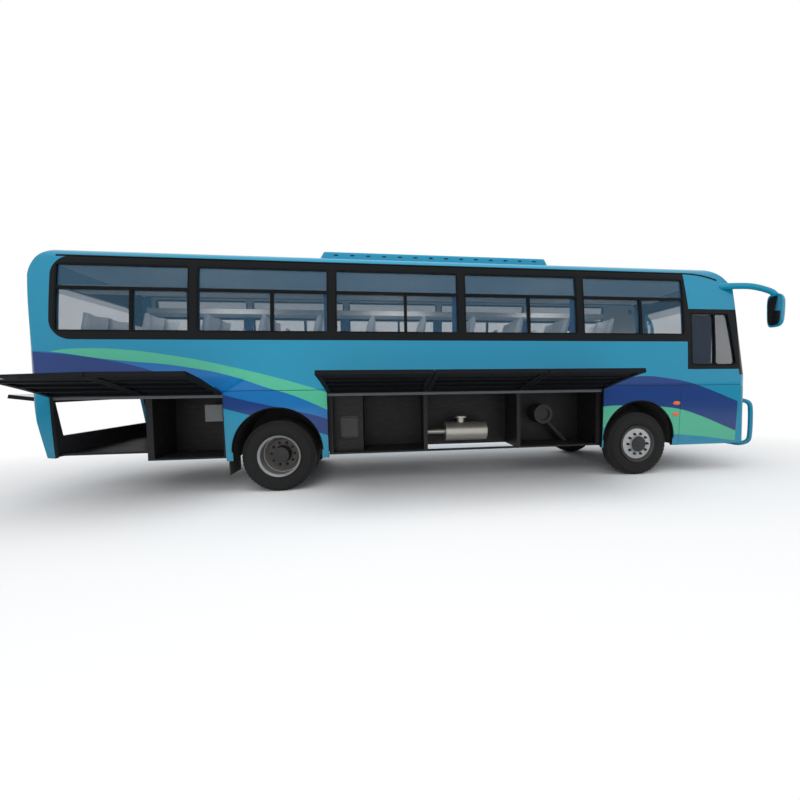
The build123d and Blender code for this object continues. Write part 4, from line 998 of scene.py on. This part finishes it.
# A sphere's points and faces come in any order, so they are sorted along a slanting line.
SORTED_ALONG = Vector((1, 0.31, 0.073))
LOUVRES, LOUVRE_PITCH, LOUVRE_Z = 14, 0.24, 0.075
pod_low, pod_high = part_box("roof_pod")
for label, side in SIDES:
    skins = skin_of("roof", f"side_wall_{label}", "front_panel")
    points = []
    for step in range(70):
        x = GUTTER_X + step * GUTTER_SPAN / 69
        points.append(from_beside(skins, side, x, GUTTER_Z - max(0.0, x - DROOP_X) ** 2 * DROOP))
    gutter = bead(points, Vector((0, side * 0.9, 0.3)).normalized(), 0.026, 0.010)
    made(f"roof_gutter_{label}", gutter, seal_black, "coach")
    skins = skin_of(f"side_panels_{label}")
    for name, x, inner in WHEEL_HOUSES:
        points = []
        for step in range(61):
            turn = math.pi * (step / 60)
            height = ARCH_Z + LIP_R * math.sin(turn)
            points.append(from_beside(skins, side, x - LIP_R * math.cos(turn), height))
        lip = bead(points, Vector((0, side, 0)), 0.020, 0.008)
        made(f"arch_lip_{name}_{label}", lip, seal_black, "coach")
    skins = skin_of(f"side_panels_{label}", f"side_wall_{label}")
    markers = []
    for x, z, half in MARKERS:
        work = bmesh.new()
        bmesh.ops.create_uvsphere(work, u_segments=20, v_segments=10, radius=1)
        work.verts.sort(key=lambda vert: vert.co.dot(SORTED_ALONG))
        work.faces.sort(key=lambda face: face.calc_center_median().dot(SORTED_ALONG))
        bmesh.ops.scale(work, verts=work.verts, vec=(0.065, 0.018, half))
        bmesh.ops.translate(work, verts=work.verts, vec=from_beside(skins, side, x, z))
        markers.append(shaped("marker", work, 60))
    joined(f"side_markers_{label}", markers, amber_lens, "coach")
    slot_mesh = block_mesh("pod_louvre", (0.060, 0.010, 0.016), 0.003)
    louvres = repeated(slot_mesh, line_tree, LOUVRES, (LOUVRE_PITCH, 0.0, 0.0), seal_black)
    middle = (pod_low.x + pod_high.x) / 2 - ZERO.x
    wall = from_beside(skin_of("roof_pod"), side, middle, pod_low.z + LOUVRE_Z)
    louvres.transform(Matrix.Translation((pod_low.x + 0.25, wall.y, pod_low.z + LOUVRE_Z)))
    made(f"pod_louvres_{label}", louvres, seal_black, "coach")


def limb(path, sizes, sides=16):
    """A round or oval moulding that swells and tapers along its path."""
    work = bmesh.new()
    rings = []
    flat = (path[1] - path[0]).cross(Vector(UP)).normalized()
    turns = [2 * math.pi * corner / sides for corner in range(sides)]
    for step, (point, (wide, high)) in enumerate(zip(path, sizes)):
        ahead = (path[min(step + 1, len(path) - 1)] - path[max(step - 1, 0)]).normalized()
        flat = (flat - ahead * flat.dot(ahead)).normalized()
        rise = flat.cross(ahead)
        ring = [point + flat * wide * math.cos(turn) + rise * high * math.sin(turn) for turn in turns]
        rings.append([work.verts.new(corner) for corner in ring])
    bridge(work, rings, "capped")
    return shaped("limb", work, 60)


def swept(points, steps):
    """A smooth line through a few points."""
    line = []
    for number in range(len(points) - 1):
        before = points[max(number - 1, 0)]
        start, end = points[number], points[number + 1]
        after = points[min(number + 2, len(points) - 1)]
        bow = 2 * before - 5 * start + 4 * end - after
        twist = 3 * start - before - 3 * end + after
        for step in range(steps):
            t = step / steps
            line.append(0.5 * (2 * start + (end - before) * t + bow * t * t + twist * t ** 3))
    return line + [points[-1]]


def oval(wide, high, steps=40):
    """The squared oval of a mirror's face, a little narrower at its foot."""
    points = []
    for step in range(steps):
        turn = 2 * math.pi * step / steps
        across, up = math.cos(turn), math.sin(turn)
        across = math.copysign(abs(across) ** 0.5, across)
        up = math.copysign(abs(up) ** 0.5, up)
        points.append((across * wide / 2 * (0.94 + 0.06 * up), up * high / 2))
    return points


def mirror_pod(centre, size, face):
    """A shell that is round in front and ends in a flat oval behind, or only the glass in that oval."""
    deep, wide, high = size
    if face:
        stations = [(-deep / 2 - 0.003, 0.88), (-deep / 2 + 0.004, 0.88)]
    else:
        stations = [(-deep / 2, 0.01), (-deep / 2, 0.96)]
        stations += [(deep * (step / 9 - 0.5), (1 - (step / 9) ** 2.6) ** 0.4) for step in range(9)]
        stations += [(deep * 0.49, 0.3)]
    work = bmesh.new()
    rings = []
    for x, scale in stations:
        outline = oval(wide * scale, high * scale)
        rings.append([work.verts.new(centre + Vector((x, y, z))) for y, z in outline])
    bridge(work, rings, "capped")
    return shaped("mirror_pod", work, 40)


def from_ahead(trees, y, z):
    """Where a level ray from in front of the coach meets the skins."""
    return strike(trees, spot(12, y, z), Vector((-1, 0, 0)))


MIRROR_AT, MIRROR_SIZE = (7.815, 1.47, 2.635), (0.13, 0.25, 0.53)
ARM_ROUTE = [
    (6.99, 1.08, 3.09), (7.115, 1.15, 3.085), (7.287, 1.22, 3.08), (7.481, 1.30, 3.06), (7.639, 1.36, 3.012),
    (7.777, 1.42, 2.935), (7.835, 1.455, 2.82),
]
BAR_ROUTE = [
    (7.750, 0.80, 1.18), (7.80, 0.90, 1.175), (7.88, 0.965, 1.13), (7.90, 0.985, 1.00), (7.90, 0.985, 0.60),
    (7.88, 0.965, 0.46), (7.80, 0.90, 0.405), (7.750, 0.80, 0.40),
]
BAR_R = 0.036
LAMP_YS, LAMP_Z = (0.77, 1.0), 1.13
BOWL = [(0.012 + 0.088 * step / 8, -0.050 + 0.038 * (step / 8) ** 2) for step in range(9)]
BOWL += [(r, x - 0.003) for r, x in BOWL[::-1]]
arms, glasses, ends, bowls, wiper_parts = [], [], [], [], []
lamp_skin = skin_of("headlamps")
screen_skin = skin_of("screens")
nose_skin = skin_of("front_panel")
for label, side in SIDES:
    path = swept([spot(x, side * y, z) for x, y, z in ARM_ROUTE], 7)
    shares = [step / len(path) for step in range(len(path))]
    arms.append(limb(path, [(0.036 - 0.006 * share, 0.056 - 0.012 * share) for share in shares]))
    centre = spot(MIRROR_AT[0], side * MIRROR_AT[1], MIRROR_AT[2])
    arms.append(mirror_pod(centre, MIRROR_SIZE, False))
    glasses.append(mirror_pod(centre, MIRROR_SIZE, True))
    path = swept([spot(x, side * y, z) for x, y, z in BAR_ROUTE], 8)
    ends.append(limb(path, [(BAR_R, BAR_R)] * len(path)))
    for y in LAMP_YS:
        work = bmesh.new()
        lathe(work, BOWL, Vector(), 32)
        bmesh.ops.transform(work, matrix=Matrix.Rotation(-math.pi / 2, 4, "Z"), verts=work.verts)
        bmesh.ops.translate(work, verts=work.verts, vec=from_ahead(lamp_skin, side * y, LAMP_Z))
        bowls.append(shaped("lamp_bowl", work, 40))
    shares = [step / 14 for step in range(15)]
    hits = [from_ahead(screen_skin, side * (0.08 + 0.86 * share), 1.70 + 0.04 * share) for share in shares]
    blade = [hit + Vector((0.018, 0, 0)) for hit in hits if hit]
    wiper_parts.append(bead(blade, Vector((0.96, 0, 0.28)), 0.014, 0.016))
    start = from_ahead(nose_skin, side * 0.55, 1.56) + Vector((0.012, 0, 0))
    end = blade[len(blade) // 2] + Vector((0.014, 0, 0))
    path = [start + (end - start) * share / 6 for share in range(7)]
    wiper_parts.append(bead(path, Vector((0.98, 0, 0.2)), 0.022, 0.014))
mirror_shells = joined("mirror_shells", arms, plain_paint, "coach", 50)
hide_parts("mirrors")
mirror_faces = joined("mirror_faces", glasses, silvered(), "coach", 40)
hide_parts("mirror_glass")
joined("bull_bar_ends", ends, plain_paint, "coach", 60)
joined("lamp_bowls", bowls, dusty_metal("chrome", tint(220, 222, 224), 0.1, 0.12, 1.0), "coach", 40)
joined("wipers", wiper_parts, seal_black, "coach", 50)


# Stage: a pale floor that runs into a white surround, broad soft lamps overhead and on each side, and
# three small ones under the cabin's ceiling. The camera stands where the photograph was taken, close
# to the coach with a wide lens.
WHITE = (1, 1, 1, 1)
FADE_X, FADE_STRETCH, FADE_START, FADE_WIDTH = 2.3, 1.9, 2.2, 3.4


def stage_floor():
    """A pale studio floor, white to the camera away from the coach, that keeps the coach's shadow."""
    finish = Finish("studio_floor")
    x, y, z = finish.axes()
    away = ((((x - FADE_X) / FADE_STRETCH) ** 2 + y ** 2) ** 0.5 - FADE_START) / FADE_WIDTH
    away = finish.node("ShaderNodeClamp", None, {"Value": away})
    seen = finish.node("ShaderNodeLightPath", out="Is Camera Ray")
    pale = finish.mix(finish.noise(0.5, 2) * 0.2, tint(244, 244, 244), tint(236, 237, 238))
    matt = finish.node("ShaderNodeBsdfPrincipled", None, {"Base Color": pale, "Roughness": 0.8})
    white = finish.node("ShaderNodeEmission", None, {"Color": WHITE, "Strength": 1.0})
    shown = finish.node("ShaderNodeMixShader", None, {0: away * seen, 1: matt, 2: white})
    finish.node("ShaderNodeOutputMaterial", None, {"Surface": shown})
    return finish.material


ground = bmesh.new()
bmesh.ops.create_grid(ground, x_segments=1, y_segments=1, size=120)
floor_piece = made("studio_floor", shaped("studio_floor", ground), stage_floor(), None)
sky = Finish("studio", bpy.data.worlds)
camera_ray, glossy_ray, through_ray = (
    sky.node("ShaderNodeLightPath", out=f"Is {ray} Ray") for ray in ("Camera", "Glossy", "Transmission")
)
white = sky.node("ShaderNodeBackground", None, {"Color": WHITE, "Strength": 1.0})
soft = sky.node("ShaderNodeBackground", None, {"Color": (0.86, 0.93, 1.0, 1), "Strength": 0.42})
shown = sky.node("ShaderNodeMixShader", None, {0: camera_ray | glossy_ray | through_ray, 1: soft, 2: white})
sky.node("ShaderNodeOutputWorld", None, {"Surface": shown})
bpy.context.scene.world = sky.material
LAMPS = [
    # name, place, size, watts, aim
    ("overhead", (2.3, -3.0, 9.5), 9.0, 620, (2.3, 0.0, 1.5)),
    ("camera_side", (-1.0, -11.0, 6.0), 8.0, 460, (2.3, 0.0, 1.4)),
    ("nose_side", (13.0, -6.0, 5.0), 5.0, 160, (4.0, 0.0, 1.5)),
    ("far_side", (0.0, 11.0, 6.0), 7.0, 380, (2.3, 0.0, 1.6)),
    ("cabin_rear", (-1.2, 0.0, 3.10), 1.0, 16, (-1.2, 0.0, 1.5)),
    ("cabin_middle", (1.8, 0.0, 3.10), 1.0, 16, (1.8, 0.0, 1.5)),
    ("cabin_front", (4.8, 0.0, 3.10), 1.0, 16, (4.8, 0.0, 1.5)),
]
for name, place, size, watts, aim in LAMPS:
    lamp = bpy.data.lights.new(name, "AREA")
    lamp.size = size
    lamp.energy = watts
    holder = bpy.data.objects.new(name, lamp)
    bpy.context.scene.collection.objects.link(holder)
    holder.visible_glossy = False
    holder.visible_camera = False
    holder.location = spot(*place)
    holder.rotation_euler = (spot(*aim) - spot(*place)).to_track_quat("-Z", "Y").to_euler()

YAW, PITCH, ROLL = (math.radians(angle) for angle in (7.654, 2.817, 0.686))
FOCAL_PX, CENTRE_PX, IMAGE_PX, SENSOR_MM = 377.5, (434.2, 403.1), 800, 36
CAMERA_AT = (1.503, -HALF_WIDTH - 5.564, 1.515)
ahead = Vector((math.sin(YAW) * math.cos(PITCH), math.cos(YAW) * math.cos(PITCH), -math.sin(PITCH)))
level = Vector((math.cos(YAW), -math.sin(YAW), 0))
down = ahead.cross(level)
across = level * math.cos(ROLL) + down * math.sin(ROLL)
below = -level * math.sin(ROLL) + down * math.cos(ROLL)
camera = bpy.data.objects.new("camera", bpy.data.cameras.new("camera"))
bpy.context.scene.collection.objects.link(camera)
camera.data.sensor_width = SENSOR_MM
camera.data.lens = FOCAL_PX * SENSOR_MM / IMAGE_PX
camera.data.shift_x = (IMAGE_PX / 2 - CENTRE_PX[0]) / IMAGE_PX
camera.data.shift_y = (CENTRE_PX[1] - IMAGE_PX / 2) / IMAGE_PX
camera.data.clip_end = 400
turned = Matrix((across, -below, -ahead)).transposed().to_4x4()
camera.matrix_world = Matrix.Translation(spot(*CAMERA_AT)) @ turned
bpy.context.scene.camera = camera
bpy.context.scene.view_settings.view_transform = "Standard"
